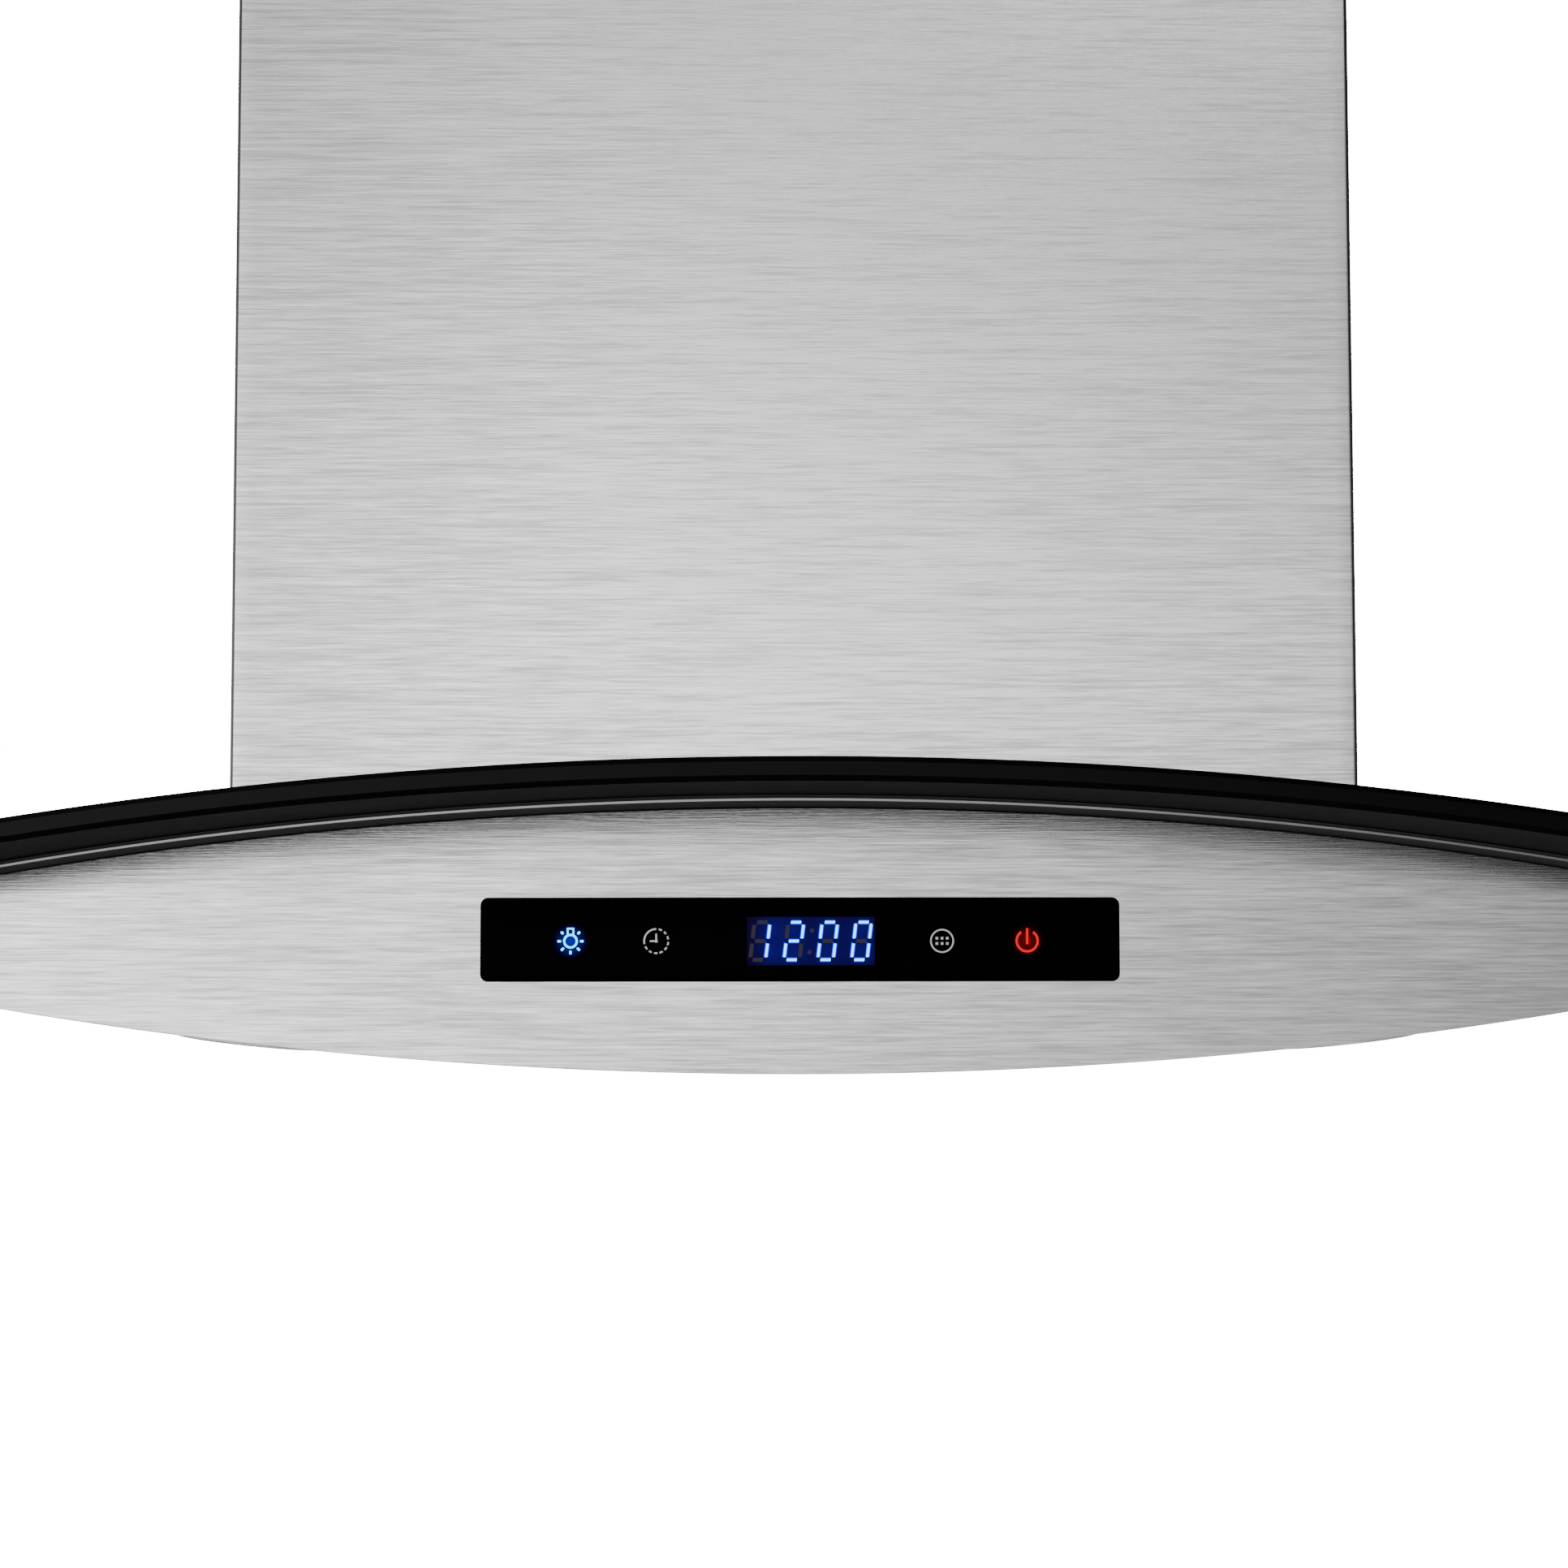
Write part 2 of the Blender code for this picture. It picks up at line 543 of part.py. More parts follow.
def belly_pan():
    """The curved underside between the fascias, with two filter wells and four lamp holes."""
    half = BODY_WIDTH / 2 - SHEET - GAP
    setback = OVERHANG + FASCIA_RETURN + GAP
    pan = plan_prism("belly_pan", half, setback, BODY_BOTTOM_Z - 0.02, BODY_TOP_Z, "steel")
    combine(pan, arch_prism("cut_belly", belly, lambda x: belly(x, SHEET), half + 0.01, -0.3, 0.3), "INTERSECT")
    depth = FILTER_DEPTH / 2
    for side in (-1, 1):
        middle = side * (FILTER_INNER_X + FILTER_OUTER_X) / 2
        half_opening = (FILTER_OUTER_X - FILTER_INNER_X) / 2
        rim = arch_prism("cut_rim", lambda x: belly(x, SHEET / 2), lambda x: belly(x, FILTER_RIM),
                         half_opening + SHEET, -depth - SHEET, depth + SHEET, centre=middle)
        join(pan, rim)
    for side in (-1, 1):
        low, high = sorted((side * FILTER_INNER_X, side * FILTER_OUTER_X))
        cut(pan, box("cut_filter_opening", (low, -depth, BODY_BOTTOM_Z - 0.05), (high, depth, BODY_TOP_Z)))
        reach = well_length() + SHEET + TONGUE_REACH
        cut(pan, local_box("cut_tongue_notch", side, reach - 0.0065, reach + 0.0006, TONGUE_LENGTH / 2 + 0.001,
                           -0.02, latch_height() + TONGUE_THICKNESS / 2 + 0.0008))
    for sx, sy, corner in corner_names():
        place, tilt = lamp_place(sx, sy)
        hole = rod("cut_lamp_hole", place, LAMP_RADIUS + GAP, 0.03)
        hole.rotation_euler = (0, tilt, 0)
        cut(pan, hole)


def end_caps():
    """Narrow strips that close the body's two ends between the fascias."""
    half = BODY_WIDTH / 2
    reach = bow(half, OVERHANG + FASCIA_RETURN) - GAP
    for side, end in ((-1, "left"), (1, "right")):
        low, high = sorted((side * (half - SHEET), side * half))
        box("end_cap_" + end, (low, -reach, belly(half)), (high, reach, body_top(half)), "steel")


def chassis():
    """The plate that carries posts, blower and glass, with an arched rib under the glass at front and rear."""
    plate = plan_prism("chassis", CHASSIS_WIDTH / 2, OVERHANG + SHEET + GAP, CHASSIS_Z - CHASSIS_WALL, CHASSIS_Z,
                       "zinc")
    opening_x, opening_y = BOX_WIDTH / 2 - 0.004, BOX_DEPTH / 2 - 0.004
    cut(plate, box("cut_chassis_air", (-opening_x, -opening_y, CHASSIS_Z - 0.02),
                   (opening_x, opening_y, CHASSIS_Z + 0.02)))
    low, high = control_housing_box()
    cut(plate, box("cut_chassis_notch", (low[0] - CONTROL_CLEARANCE, -GLASS_DEPTH, CHASSIS_Z - 0.02),
                   (high[0] + CONTROL_CLEARANCE, high[1] + CONTROL_CLEARANCE, CHASSIS_Z + 0.02)))
    for side in (-1, 1):
        middle = side * RIB_SPACING / 2
        rib = arch_prism("cut_rib", lambda x: CHASSIS_Z - CHASSIS_WALL / 2, lambda x: glass_under(x) - 2 * GAP,
                         CHASSIS_WIDTH / 2 - 0.01, middle - RIB_WALL / 2, middle + RIB_WALL / 2)
        join(plate, rib)
    clamp_x, clamp_y = clamp_place()
    for sx, sy, corner in corner_names():
        cut(plate, rod("cut_chassis_screw", (sx * clamp_x, sy * clamp_y, CHASSIS_Z), 0.0029, 0.02, sides=16))


# ---------------------------------------------------------------- blower
def blower_box():
    """The sheet-metal box round the blower, open below, with the outlet in its top."""
    half_x, half_y = BOX_WIDTH / 2, BOX_DEPTH / 2
    case = box("blower_box", (-half_x, -half_y, CHASSIS_Z + GAP), (half_x, half_y, BOX_TOP_Z), "zinc")
    hollow = box("cut_box_hollow", (SHEET - half_x, SHEET - half_y, CHASSIS_Z - 0.01),
                 (half_x - SHEET, half_y - SHEET, BOX_TOP_Z - SHEET))
    cut(case, hollow, rod("cut_box_outlet", (0, 0, BOX_TOP_Z), COLLAR_DIAMETER / 2 - COLLAR_WALL, 0.02, sides=32))


def volute(offset, top, steps=22):
    """The scroll's outline in Y and Z: a spiral from the tongue, under the wheel, to the outlet's outer wall."""
    sweep = math.radians(SCROLL_SWEEP)
    points = []
    for i in range(steps + 1):
        share = i / steps
        angle = math.radians(SCROLL_TONGUE) - sweep * share
        radius = SCROLL_START + (SCROLL_END - SCROLL_START) * share - offset
        points.append((SCROLL_AXIS_Y + radius * math.cos(angle), SCROLL_AXIS_Z + radius * math.sin(angle)))
    outer = points[-1][0]
    return points + [(outer, top), (points[0][0] - 0.012, top)]


def scroll_housing():
    top = BOX_TOP_Z - SHEET - GAP
    half = SCROLL_WIDTH / 2
    turn = Matrix.Rotation(math.pi / 2, 4, "Z")
    scroll = outline("scroll_housing", volute(0.0, top), -half, half, upright=True, finish="zinc")
    hollow = outline("cut_scroll_hollow", volute(SCROLL_WALL, top + 0.02), -half + SCROLL_WALL, half - SCROLL_WALL,
                     upright=True)
    for item in (scroll, hollow):
        item.data.transform(turn)
    cut(scroll, hollow)
    for side in (-1, 1):
        cut(scroll, rod("cut_inlet", (side * half, SCROLL_AXIS_Y, SCROLL_AXIS_Z), INLET_RADIUS, 0.02, "X"))


def impeller():
    """A double-inlet drum wheel: blades between two end rings, on a middle disc."""
    place = (0, SCROLL_AXIS_Y, SCROLL_AXIS_Z)
    wheel = rod("impeller", place, IMPELLER_RADIUS, IMPELLER_WIDTH, "X", "plastic", sides=40)
    bore = IMPELLER_RADIUS - IMPELLER_RING
    disc = 0.004
    length = IMPELLER_WIDTH / 2 - disc / 2
    for side in (-1, 1):
        centre = (side * (disc / 2 + length), SCROLL_AXIS_Y, SCROLL_AXIS_Z)
        cut(wheel, rod("cut_wheel_bore", centre, bore, 2 * length, "X", sides=40))
    cut(wheel, rod("cut_wheel_shaft", place, SHAFT_RADIUS + GAP, 0.02, "X", sides=16))
    ring = 0.008
    slot_length = (IMPELLER_WIDTH - disc) / 2 - 1.5 * ring
    for side in (-1, 1):
        middle = side * (disc / 2 + ring / 2 + slot_length / 2)
        for blade in range(BLADES):
            angle = 2 * math.pi * (blade + 0.5) / BLADES
            width = 2 * math.pi * bore / BLADES * 0.72
            slot = box("cut_blade_gap", (-slot_length / 2, -width / 2, -IMPELLER_RING),
                       (slot_length / 2, width / 2, IMPELLER_RING))
            slot.location = (middle, SCROLL_AXIS_Y + (bore + IMPELLER_RING / 2) * math.sin(angle),
                             SCROLL_AXIS_Z + (bore + IMPELLER_RING / 2) * math.cos(angle))
            slot.rotation_euler = (-angle, 0, 0)
            WHEEL_SLOTS.objects.link(slot)
            CUTTERS.objects.unlink(slot)
    gaps = wheel.modifiers.new("Blade gaps", "BOOLEAN")
    gaps.operation = "DIFFERENCE"
    gaps.operand_type = "COLLECTION"
    gaps.collection = WHEEL_SLOTS


def motor_and_shaft():
    start = 0.010
    y, z = SCROLL_AXIS_Y, SCROLL_AXIS_Z
    motor = rod("motor", (start + MOTOR_LENGTH / 2, y, z), MOTOR_RADIUS, MOTOR_LENGTH, "X", "motor")
    cut(motor, rod("cut_motor_bore", (start + 0.02, y, z), SHAFT_RADIUS + GAP, 0.06, "X", sides=16))
    rod("motor_shaft", (0.015, y, z), SHAFT_RADIUS, 0.060, "X", "bright", sides=16)
    wall = SCROLL_WIDTH / 2 + GAP
    bracket = rod("motor_bracket", (wall + 0.001, y, z), INLET_RADIUS + 0.010, 0.002, "X", "zinc")
    cut(bracket, rod("cut_bracket_hole", (wall, y, z), MOTOR_RADIUS + GAP, 0.02, "X"))
    middle = (MOTOR_RADIUS + INLET_RADIUS) / 2
    for hole in range(BRACKET_HOLES):
        angle = 2 * math.pi * hole / BRACKET_HOLES
        cut(bracket, rod("cut_bracket_air", (wall, y + middle * math.cos(angle), z + middle * math.sin(angle)),
                         0.0055, 0.02, "X", sides=8))


def outlet_and_damper():
    """The duct collar on the blower box, with two flaps on one pin."""
    outer = COLLAR_DIAMETER / 2
    inner = outer - COLLAR_WALL
    flange = outer + 0.010
    profile = [(inner, COLLAR_HEIGHT), (outer, COLLAR_HEIGHT), (outer, COLLAR_WALL), (flange, COLLAR_WALL),
               (flange, 0), (inner, 0)]
    collar = turned("outlet_collar", profile, (0, 0, COLLAR_BASE_Z), "plastic", steps=32)
    pin_z = COLLAR_BASE_Z + 0.022
    cut(collar, rod("cut_collar_pin", (0, 0, pin_z), PIN_RADIUS + GAP, COLLAR_DIAMETER + 0.04, "Y", sides=12))
    rod("damper_pin", (0, 0, pin_z), PIN_RADIUS, COLLAR_DIAMETER - 0.001, "Y", "bright", sides=12)
    radius = inner - 0.003
    start = 0.0025
    for side, name in ((-1, "damper_flap_left"), (1, "damper_flap_right")):
        limit = math.acos(start / radius)
        arc = [limit - 2 * limit * i / 20 for i in range(21)]
        points = [(side * (radius * math.cos(a) - start), radius * math.sin(a)) for a in arc]
        flap = outline(name, points, -FLAP_WALL / 2, FLAP_WALL / 2, finish="plastic")
        flap.location = (side * start, 0, pin_z)


# ---------------------------------------------------------------- electrics
def power_box():
    start = BOX_WIDTH / 2 + GAP
    top = BOX_TOP_Z - 0.02
    case = box("power_box", (start, -POWER_DEPTH / 2, top - POWER_HEIGHT), (start + POWER_WIDTH, POWER_DEPTH / 2, top),
               "plastic")
    x = start + POWER_WIDTH / 2
    profile = [(0.0045, 0.014), (GLAND_RADIUS - 0.0015, 0.014), (GLAND_RADIUS, 0.011), (GLAND_RADIUS, 0), (0.0045, 0)]
    turned("cable_gland", profile, (x, 0, top + GAP), "plastic", steps=16)
    cut(case, rod("cut_power_inlet", (x, 0, top), 0.0045, 0.02, sides=16))


def control_housing_box():
    """The two corners of the housing behind the control glass."""
    half_x, half_z = CONTROL_WIDTH / 2 + 0.005, CONTROL_HEIGHT / 2 + 0.004
    front = -bow(half_x, OVERHANG + SHEET) + GAP
    rear = -bow(0, OVERHANG + CONTROL_THICKNESS) + DISPLAY_THICKNESS + BOARD_THICKNESS + 0.005
    return (-half_x, front, CONTROL_Z - half_z), (half_x, rear, CONTROL_Z + half_z)


def control_panel():
    """The touch glass in the fascia, its display and board, and the housing behind them."""
    shape = rounded_rectangle(CONTROL_WIDTH, CONTROL_HEIGHT, CONTROL_CORNER, (0, CONTROL_Z))
    glass = outline("control_glass", shape, -0.3, -0.2, upright=True, finish="touch")
    combine(glass, bow_slab("cut_control_bow", -1, CONTROL_WIDTH, OVERHANG - GAP,
                            OVERHANG - GAP + CONTROL_THICKNESS), "INTERSECT")
    back = -bow(0, OVERHANG + CONTROL_THICKNESS)
    display_back = back + DISPLAY_THICKNESS
    box("display_module", (-DISPLAY_WIDTH / 2, back + 2 * GAP, CONTROL_Z - DISPLAY_HEIGHT / 2),
        (DISPLAY_WIDTH / 2, display_back, CONTROL_Z + DISPLAY_HEIGHT / 2), "touch")
    board_half_x, board_half_z = CONTROL_WIDTH / 2 - 0.004, CONTROL_HEIGHT / 2 - 0.001
    board_front = display_back + GAP
    box("control_board", (-board_half_x, board_front, CONTROL_Z - board_half_z),
        (board_half_x, board_front + BOARD_THICKNESS, CONTROL_Z + board_half_z), "board")
    low, high = control_housing_box()
    housing = box("control_housing", low, high, "plastic")
    wall = HOUSING_WALL
    cut(housing, box("cut_housing", (low[0] + wall, low[1] - 0.01, low[2] + wall),
                     (high[0] - wall, high[1] - wall, high[2] - wall)))


def lamp_place(sx, sy):
    """Middle of a lamp's bezel seat on the belly, and the tilt that makes it square to the belly."""
    x = sx * LAMP_X
    y = (FILTER_DEPTH / 2 + SHEET + bow(LAMP_X, OVERHANG + FASCIA_RETURN)) / 2
    tilt = -math.asin(x / BODY_ARC)
    return (x, sy * y, belly(x)), tilt


def lamps():
    for sx, sy, corner in corner_names():
        place, tilt = lamp_place(sx, sy)
        flange = 0.0012
        seat = -0.0005
        recess = 0.002
        profile = [(0, LAMP_HEIGHT), (LAMP_RADIUS, LAMP_HEIGHT), (LAMP_RADIUS, seat), (LAMP_BEZEL, seat),
                   (LAMP_BEZEL - 0.0006, seat - flange), (LAMP_RADIUS - 0.002, seat - flange),
                   (LAMP_RADIUS - 0.002, seat - flange + recess), (0, seat - flange + recess)]
        housing = turned("lamp_housing_" + corner, profile, place, "aluminium", steps=20)
        housing.rotation_euler = (0, tilt, 0)
        lens_radius = LAMP_RADIUS - 0.002 - GAP
        top = seat - flange + recess - GAP
        lens_profile = [(0, top), (lens_radius, top), (lens_radius, top - 0.0014), (0, top - 0.0014)]
        lens = turned("lamp_lens_" + corner, lens_profile, place, "lens", steps=20)
        lens.rotation_euler = (0, tilt, 0)


# ---------------------------------------------------------------- grease filters
def filter_tilt():
    """Slope of a filter, which lies along the chord of its belly opening."""
    rise = belly(FILTER_OUTER_X) - belly(FILTER_INNER_X)
    return math.atan2(rise, FILTER_OUTER_X - FILTER_INNER_X)


def well_length():
    """Distance along a filter from its hinge to the far wall of its well."""
    return (FILTER_OUTER_X - FILTER_INNER_X) / math.cos(filter_tilt()) - FILTER_PLAY


def filter_length():
    """The free end's top edge leans toward the wall of the well by the filter's slope."""
    return well_length() - FILTER_NOSE_PLAY - FILTER_THICKNESS * math.tan(filter_tilt())


def latch_height():
    return LATCH_DEPTH / 2 + 0.0004


def filter_frame_empty(side):
    """The empty on a filter's hinge axis, along Y at its outer lower edge."""
    name = "filter_hinge_" + ("left" if side < 0 else "right")
    if name in bpy.data.objects:
        return bpy.data.objects[name]
    empty = bpy.data.objects.new(name, None)
    PARTS.objects.link(empty)
    outer = FILTER_OUTER_X - FILTER_PLAY * math.cos(filter_tilt())
    empty.location = (side * outer, 0, belly(FILTER_OUTER_X) - FILTER_PLAY * math.sin(filter_tilt()))
    empty.rotation_euler = (0, -side * filter_tilt(), 0)
    return empty


def local_box(name, side, start, end, half_y, low, high, finish=None):
    """A box in a filter's own frame, from start to end along the filter away from its hinge."""
    a, b = sorted((-side * start, -side * end))
    item = box(name, (a, -half_y, low), (b, half_y, high), finish)
    item.parent = filter_frame_empty(side)
    return item


def grease_filters():
    length = filter_length()
    half = FILTER_DEPTH / 2 - FILTER_PLAY
    for side, end in ((-1, "left"), (1, "right")):
        frame = local_box("filter_frame_" + end, side, 0, length, half, 0, FILTER_THICKNESS, "aluminium")
        window = (FILTER_BORDER, length - LATCH_BORDER)
        cut(frame, local_box("cut_filter_window", side, *window, half - FILTER_BORDER, -0.01, 0.02))
        local_box("filter_baffles_" + end, side, window[0] + GAP, window[1] - GAP, half - FILTER_BORDER - GAP,
                  0.001, FILTER_THICKNESS - 0.001, "aluminium")
        latch_end = length - 0.004
        pocket_start = latch_end - LATCH_WIDTH - LATCH_TRAVEL - 2 * GAP
        cut(frame, local_box("cut_latch_pocket", side, pocket_start, latch_end, LATCH_LENGTH / 2 + GAP,
                             -0.01, LATCH_DEPTH + 2 * GAP))
        tongue_low = latch_height() - TONGUE_THICKNESS / 2
        tongue_high = latch_height() + TONGUE_THICKNESS / 2
        cut(frame, local_box("cut_tongue_way", side, latch_end - 0.002, length + 0.01, TONGUE_LENGTH / 2 + GAP,
                             tongue_low - GAP, tongue_high + GAP))
        start = latch_end - LATCH_WIDTH - GAP
        latch = local_box("filter_latch_" + end, side, start, latch_end - GAP, LATCH_LENGTH / 2, GAP, LATCH_DEPTH,
                          "plastic")
        tongue = local_box("cut_tongue", side, latch_end - 0.003, well_length() + SHEET + TONGUE_REACH,
                           TONGUE_LENGTH / 2, tongue_low, tongue_high)
        join(latch, tongue)


# ---------------------------------------------------------------- build
FINISHES = {
    "steel": ((0.62, 0.62, 0.61), 0.34, 1.0),
    "zinc": ((0.55, 0.56, 0.58), 0.45, 1.0),
    "bright": ((0.75, 0.75, 0.76), 0.2, 1.0),
    "glass": ((0.010, 0.010, 0.012), 0.05, 0.0),
    "touch": ((0.004, 0.004, 0.005), 0.04, 0.0),
    "rubber": ((0.02, 0.02, 0.02), 0.7, 0.0),
    "plastic": ((0.06, 0.06, 0.065), 0.5, 0.0),
    "motor": ((0.16, 0.16, 0.17), 0.4, 0.6),
    "board": ((0.02, 0.16, 0.07), 0.5, 0.0),
    "aluminium": ((0.78, 0.78, 0.79), 0.35, 1.0),
    "lens": ((0.92, 0.92, 0.88), 0.25, 0.0),
}

clear_scene()
PARTS = new_collection("island_range_hood")
CUTTERS = new_collection("cutters")
WHEEL_SLOTS = new_collection("wheel_slots")

ceiling_plate()
telescopic_frame()
flue_covers()
canopy_glass()
seals_and_fascias()
belly_pan()
end_caps()
chassis()
blower_box()
scroll_housing()
impeller()
motor_and_shaft()
outlet_and_damper()
power_box()
control_panel()
lamps()
grease_filters()
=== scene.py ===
"""Looks of an island range hood: brushed steel, arched black glass, a touch strip and the works behind them.

All sizes are metres in the part's own frame. The origin is on the ceiling, +Z is up and the controls face -Y.
"""
from __future__ import annotations

import json
import logging
import math
from contextlib import contextmanager
from dataclasses import dataclass
from enum import Enum
from typing import Callable, Iterator, Sequence

import bmesh
import bpy
from mathutils import Matrix, Vector

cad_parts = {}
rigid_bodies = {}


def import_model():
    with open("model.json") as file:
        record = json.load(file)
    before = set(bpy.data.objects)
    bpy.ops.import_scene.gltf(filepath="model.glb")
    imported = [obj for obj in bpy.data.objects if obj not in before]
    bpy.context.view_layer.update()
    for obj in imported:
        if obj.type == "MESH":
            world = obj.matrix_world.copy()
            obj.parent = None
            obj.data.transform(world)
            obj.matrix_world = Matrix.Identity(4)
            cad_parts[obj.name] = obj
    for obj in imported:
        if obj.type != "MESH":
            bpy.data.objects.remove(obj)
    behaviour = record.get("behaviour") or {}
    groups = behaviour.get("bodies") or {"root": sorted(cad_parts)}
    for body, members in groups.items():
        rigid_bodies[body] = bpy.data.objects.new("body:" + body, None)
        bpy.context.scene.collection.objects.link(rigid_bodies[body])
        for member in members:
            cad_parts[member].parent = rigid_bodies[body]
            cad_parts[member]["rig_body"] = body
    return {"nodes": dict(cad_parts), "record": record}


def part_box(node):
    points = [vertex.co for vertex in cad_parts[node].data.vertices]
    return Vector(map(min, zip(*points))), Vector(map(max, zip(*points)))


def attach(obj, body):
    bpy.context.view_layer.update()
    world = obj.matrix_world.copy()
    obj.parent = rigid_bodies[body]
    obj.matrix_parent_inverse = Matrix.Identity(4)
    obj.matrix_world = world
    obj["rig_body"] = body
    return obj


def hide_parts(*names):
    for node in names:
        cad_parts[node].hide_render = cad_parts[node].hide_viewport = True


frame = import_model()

LOG = logging.getLogger("range_hood")
Colour = tuple[float, float, float]
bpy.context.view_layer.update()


# ---------------------------------------------------------------- the shape of the hood
@dataclass(frozen=True)
class HoodShape:
    """Radii and heights that the glass, the body and the covers share."""

    arch_radius: float = 1.310
    bow_radius: float = 2.500
    crown_z: float = -0.880
    glass_width: float = 0.900
    glass_depth: float = 0.600
    glass: float = 0.006
    seal: float = 0.0037
    body_height: float = 0.0690
    overhang: float = 0.053
    sheet: float = 0.0012
    gap: float = 0.0003

    @property
    def arch_z(self) -> float:
        """Height of the line that the glass is arched about."""
        return self.crown_z - self.arch_radius

    @property
    def body_arc(self) -> float:
        """Radius of the body's top and bottom arcs."""
        return self.arch_radius - self.seal

    @property
    def belly_z(self) -> float:
        """Height of the line that the belly is curved about."""
        return self.crown_z - self.seal - self.body_height + self.body_arc

    def glass_under(self, x: float) -> float:
        """Height of the glass's underside at x."""
        return self.arch_z + math.sqrt(self.arch_radius ** 2 - x * x)

    def glass_over(self, x: float) -> float:
        """Height of the glass's top at x."""
        return self.arch_z + math.sqrt((self.arch_radius + self.glass) ** 2 - x * x)

    def body_top(self, x: float) -> float:
        """Height of the body's top arc at x."""
        return self.arch_z + math.sqrt(self.body_arc ** 2 - x * x)

    def belly(self, x: float) -> float:
        """Height of the body's bottom arc at x."""
        return self.belly_z - math.sqrt(self.body_arc ** 2 - x * x)

    def bow(self, x: float, setback: float = 0.0) -> float:
        """Distance from the middle plane to the bowed edge at x, moved in by setback."""
        return math.sqrt((self.bow_radius - setback) ** 2 - x * x) - self.bow_radius + self.glass_depth / 2


SHAPE = HoodShape()
CORNERS = {"front_left": (-1, -1), "rear_left": (-1, 1), "front_right": (1, -1), "rear_right": (1, 1)}


# ---------------------------------------------------------------- work on the bench
class Picks(Enum):
    """What an operator in edit mode acts on."""

    FACES = "FACE"
    EDGES = "EDGE"
    CORNERS = "VERT"


def deselect() -> None:
    """Leaves nothing selected, so that the next operator acts on its own piece alone."""
    bpy.ops.object.select_all(action="DESELECT")


class Piece:
    """One mesh, shaped with the operators of edit mode and finished with modifiers."""

    def __init__(self, item: bpy.types.Object) -> None:
        """Takes over a mesh object."""
        self.item = item

    # -- starts
    @classmethod
    def fresh(cls, name: str, size: Vector) -> Piece:
        """Names and sizes the primitive that was just added, with its place in its mesh.

        Args:
            name: The new piece's name.
            size: What a primitive of size 1 is stretched to along X, Y and Z.

        Returns:
            The piece.
        """
        item = bpy.context.active_object
        item.name = item.data.name = name
        item.scale = size
        bpy.ops.object.transform_apply(location=True, rotation=True, scale=True)
        return cls(item)

    @classmethod
    def block(cls, name: str, low: Sequence[float], high: Sequence[float]) -> Piece:
        """A rectangular blank between two corners."""
        deselect()
        low, high = Vector(low), Vector(high)
        bpy.ops.mesh.primitive_cube_add(size=1, location=(low + high) / 2)
        return cls.fresh(name, high - low)

    @classmethod
    def sheet(cls, name: str, width: float, depth: float, columns: int = 1, rows: int = 1) -> Piece:
        """A flat blank in the XY plane, divided into columns and rows."""
        deselect()
        bpy.ops.mesh.primitive_grid_add(x_subdivisions=columns, y_subdivisions=rows, size=1)
        return cls.fresh(name, Vector((width, depth, 1)))

    @classmethod
    def disc(cls, name: str, radius: float, sides: int = 48, centre: Sequence[float] = (0, 0, 0)) -> Piece:
        """A flat round blank in the XY plane."""
        deselect()
        bpy.ops.mesh.primitive_circle_add(vertices=sides, radius=radius, fill_type="NGON", location=centre)
        return cls.fresh(name, Vector((1, 1, 1)))

    @classmethod
    def bar(cls, name: str, radius: float, length: float, sides: int = 32) -> Piece:
        """A round blank standing on the origin along +Z."""
        deselect()
        bpy.ops.mesh.primitive_cylinder_add(vertices=sides, radius=radius, depth=length,
                                            location=(0, 0, length / 2))
        return cls.fresh(name, Vector((1, 1, 1)))

    # -- edit mode
    @contextmanager
    def vice(self, picks: Picks, test: Callable[[object], bool] | None = None) -> Iterator[None]:
        """Opens the piece in edit mode with the elements that pass a test selected.

        Args:
            picks: Faces, edges or corners.
            test: Says whether an element is selected; everything is when there is none.
        """
        deselect()
        self.item.select_set(True)
        bpy.context.view_layer.objects.active = self.item
        bpy.ops.object.mode_set(mode="EDIT")
        bpy.ops.mesh.select_mode(type=picks.value)
        bpy.ops.mesh.select_all(action="SELECT" if test is None else "DESELECT")
        if test is not None:
            mesh = bmesh.from_edit_mesh(self.item.data)
            found = {Picks.FACES: mesh.faces, Picks.EDGES: mesh.edges, Picks.CORNERS: mesh.verts}[picks]
            for element in list(found):
                if test(element):
                    element.select_set(True)
            mesh.select_flush_mode()
            bmesh.update_edit_mesh(self.item.data)
        yield
        bpy.ops.object.mode_set(mode="OBJECT")

    def extrude(self, test: Callable, by: Sequence[float], picks: Picks = Picks.FACES) -> Piece:
        """Draws the picked faces or edges out by a vector."""
        with self.vice(picks, test):
            bpy.ops.mesh.extrude_region_move(TRANSFORM_OT_translate={"value": by})
        return self

    def inset(self, test: Callable, width: float, depth: float = 0.0) -> Piece:
        """Insets the picked faces, and lowers them by depth."""
        with self.vice(Picks.FACES, test):
            bpy.ops.mesh.inset(thickness=width, depth=depth)
        return self

    def round(self, test: Callable, radius: float, steps: int = 3, picks: Picks = Picks.EDGES) -> Piece:
        """Rounds the picked edges or corners."""
        with self.vice(picks, test):
            bpy.ops.mesh.bevel(offset=radius, segments=steps,
                               affect="VERTICES" if picks is Picks.CORNERS else "EDGES",
                               clamp_overlap=True)
        return self

    def drop(self, test: Callable, picks: Picks = Picks.FACES) -> Piece:
        """Deletes the picked faces, edges or corners."""
        with self.vice(picks, test):
            bpy.ops.mesh.delete(type=picks.value)
        return self

    def slice(self, places: Sequence[float], along: Sequence[float] = (1, 0, 0)) -> Piece:
        """Divides the piece with planes square to a direction."""
        normal = Vector(along)
        for place in places:
            with self.vice(Picks.FACES):
                bpy.ops.mesh.bisect(plane_co=normal * place, plane_no=normal)
        return self

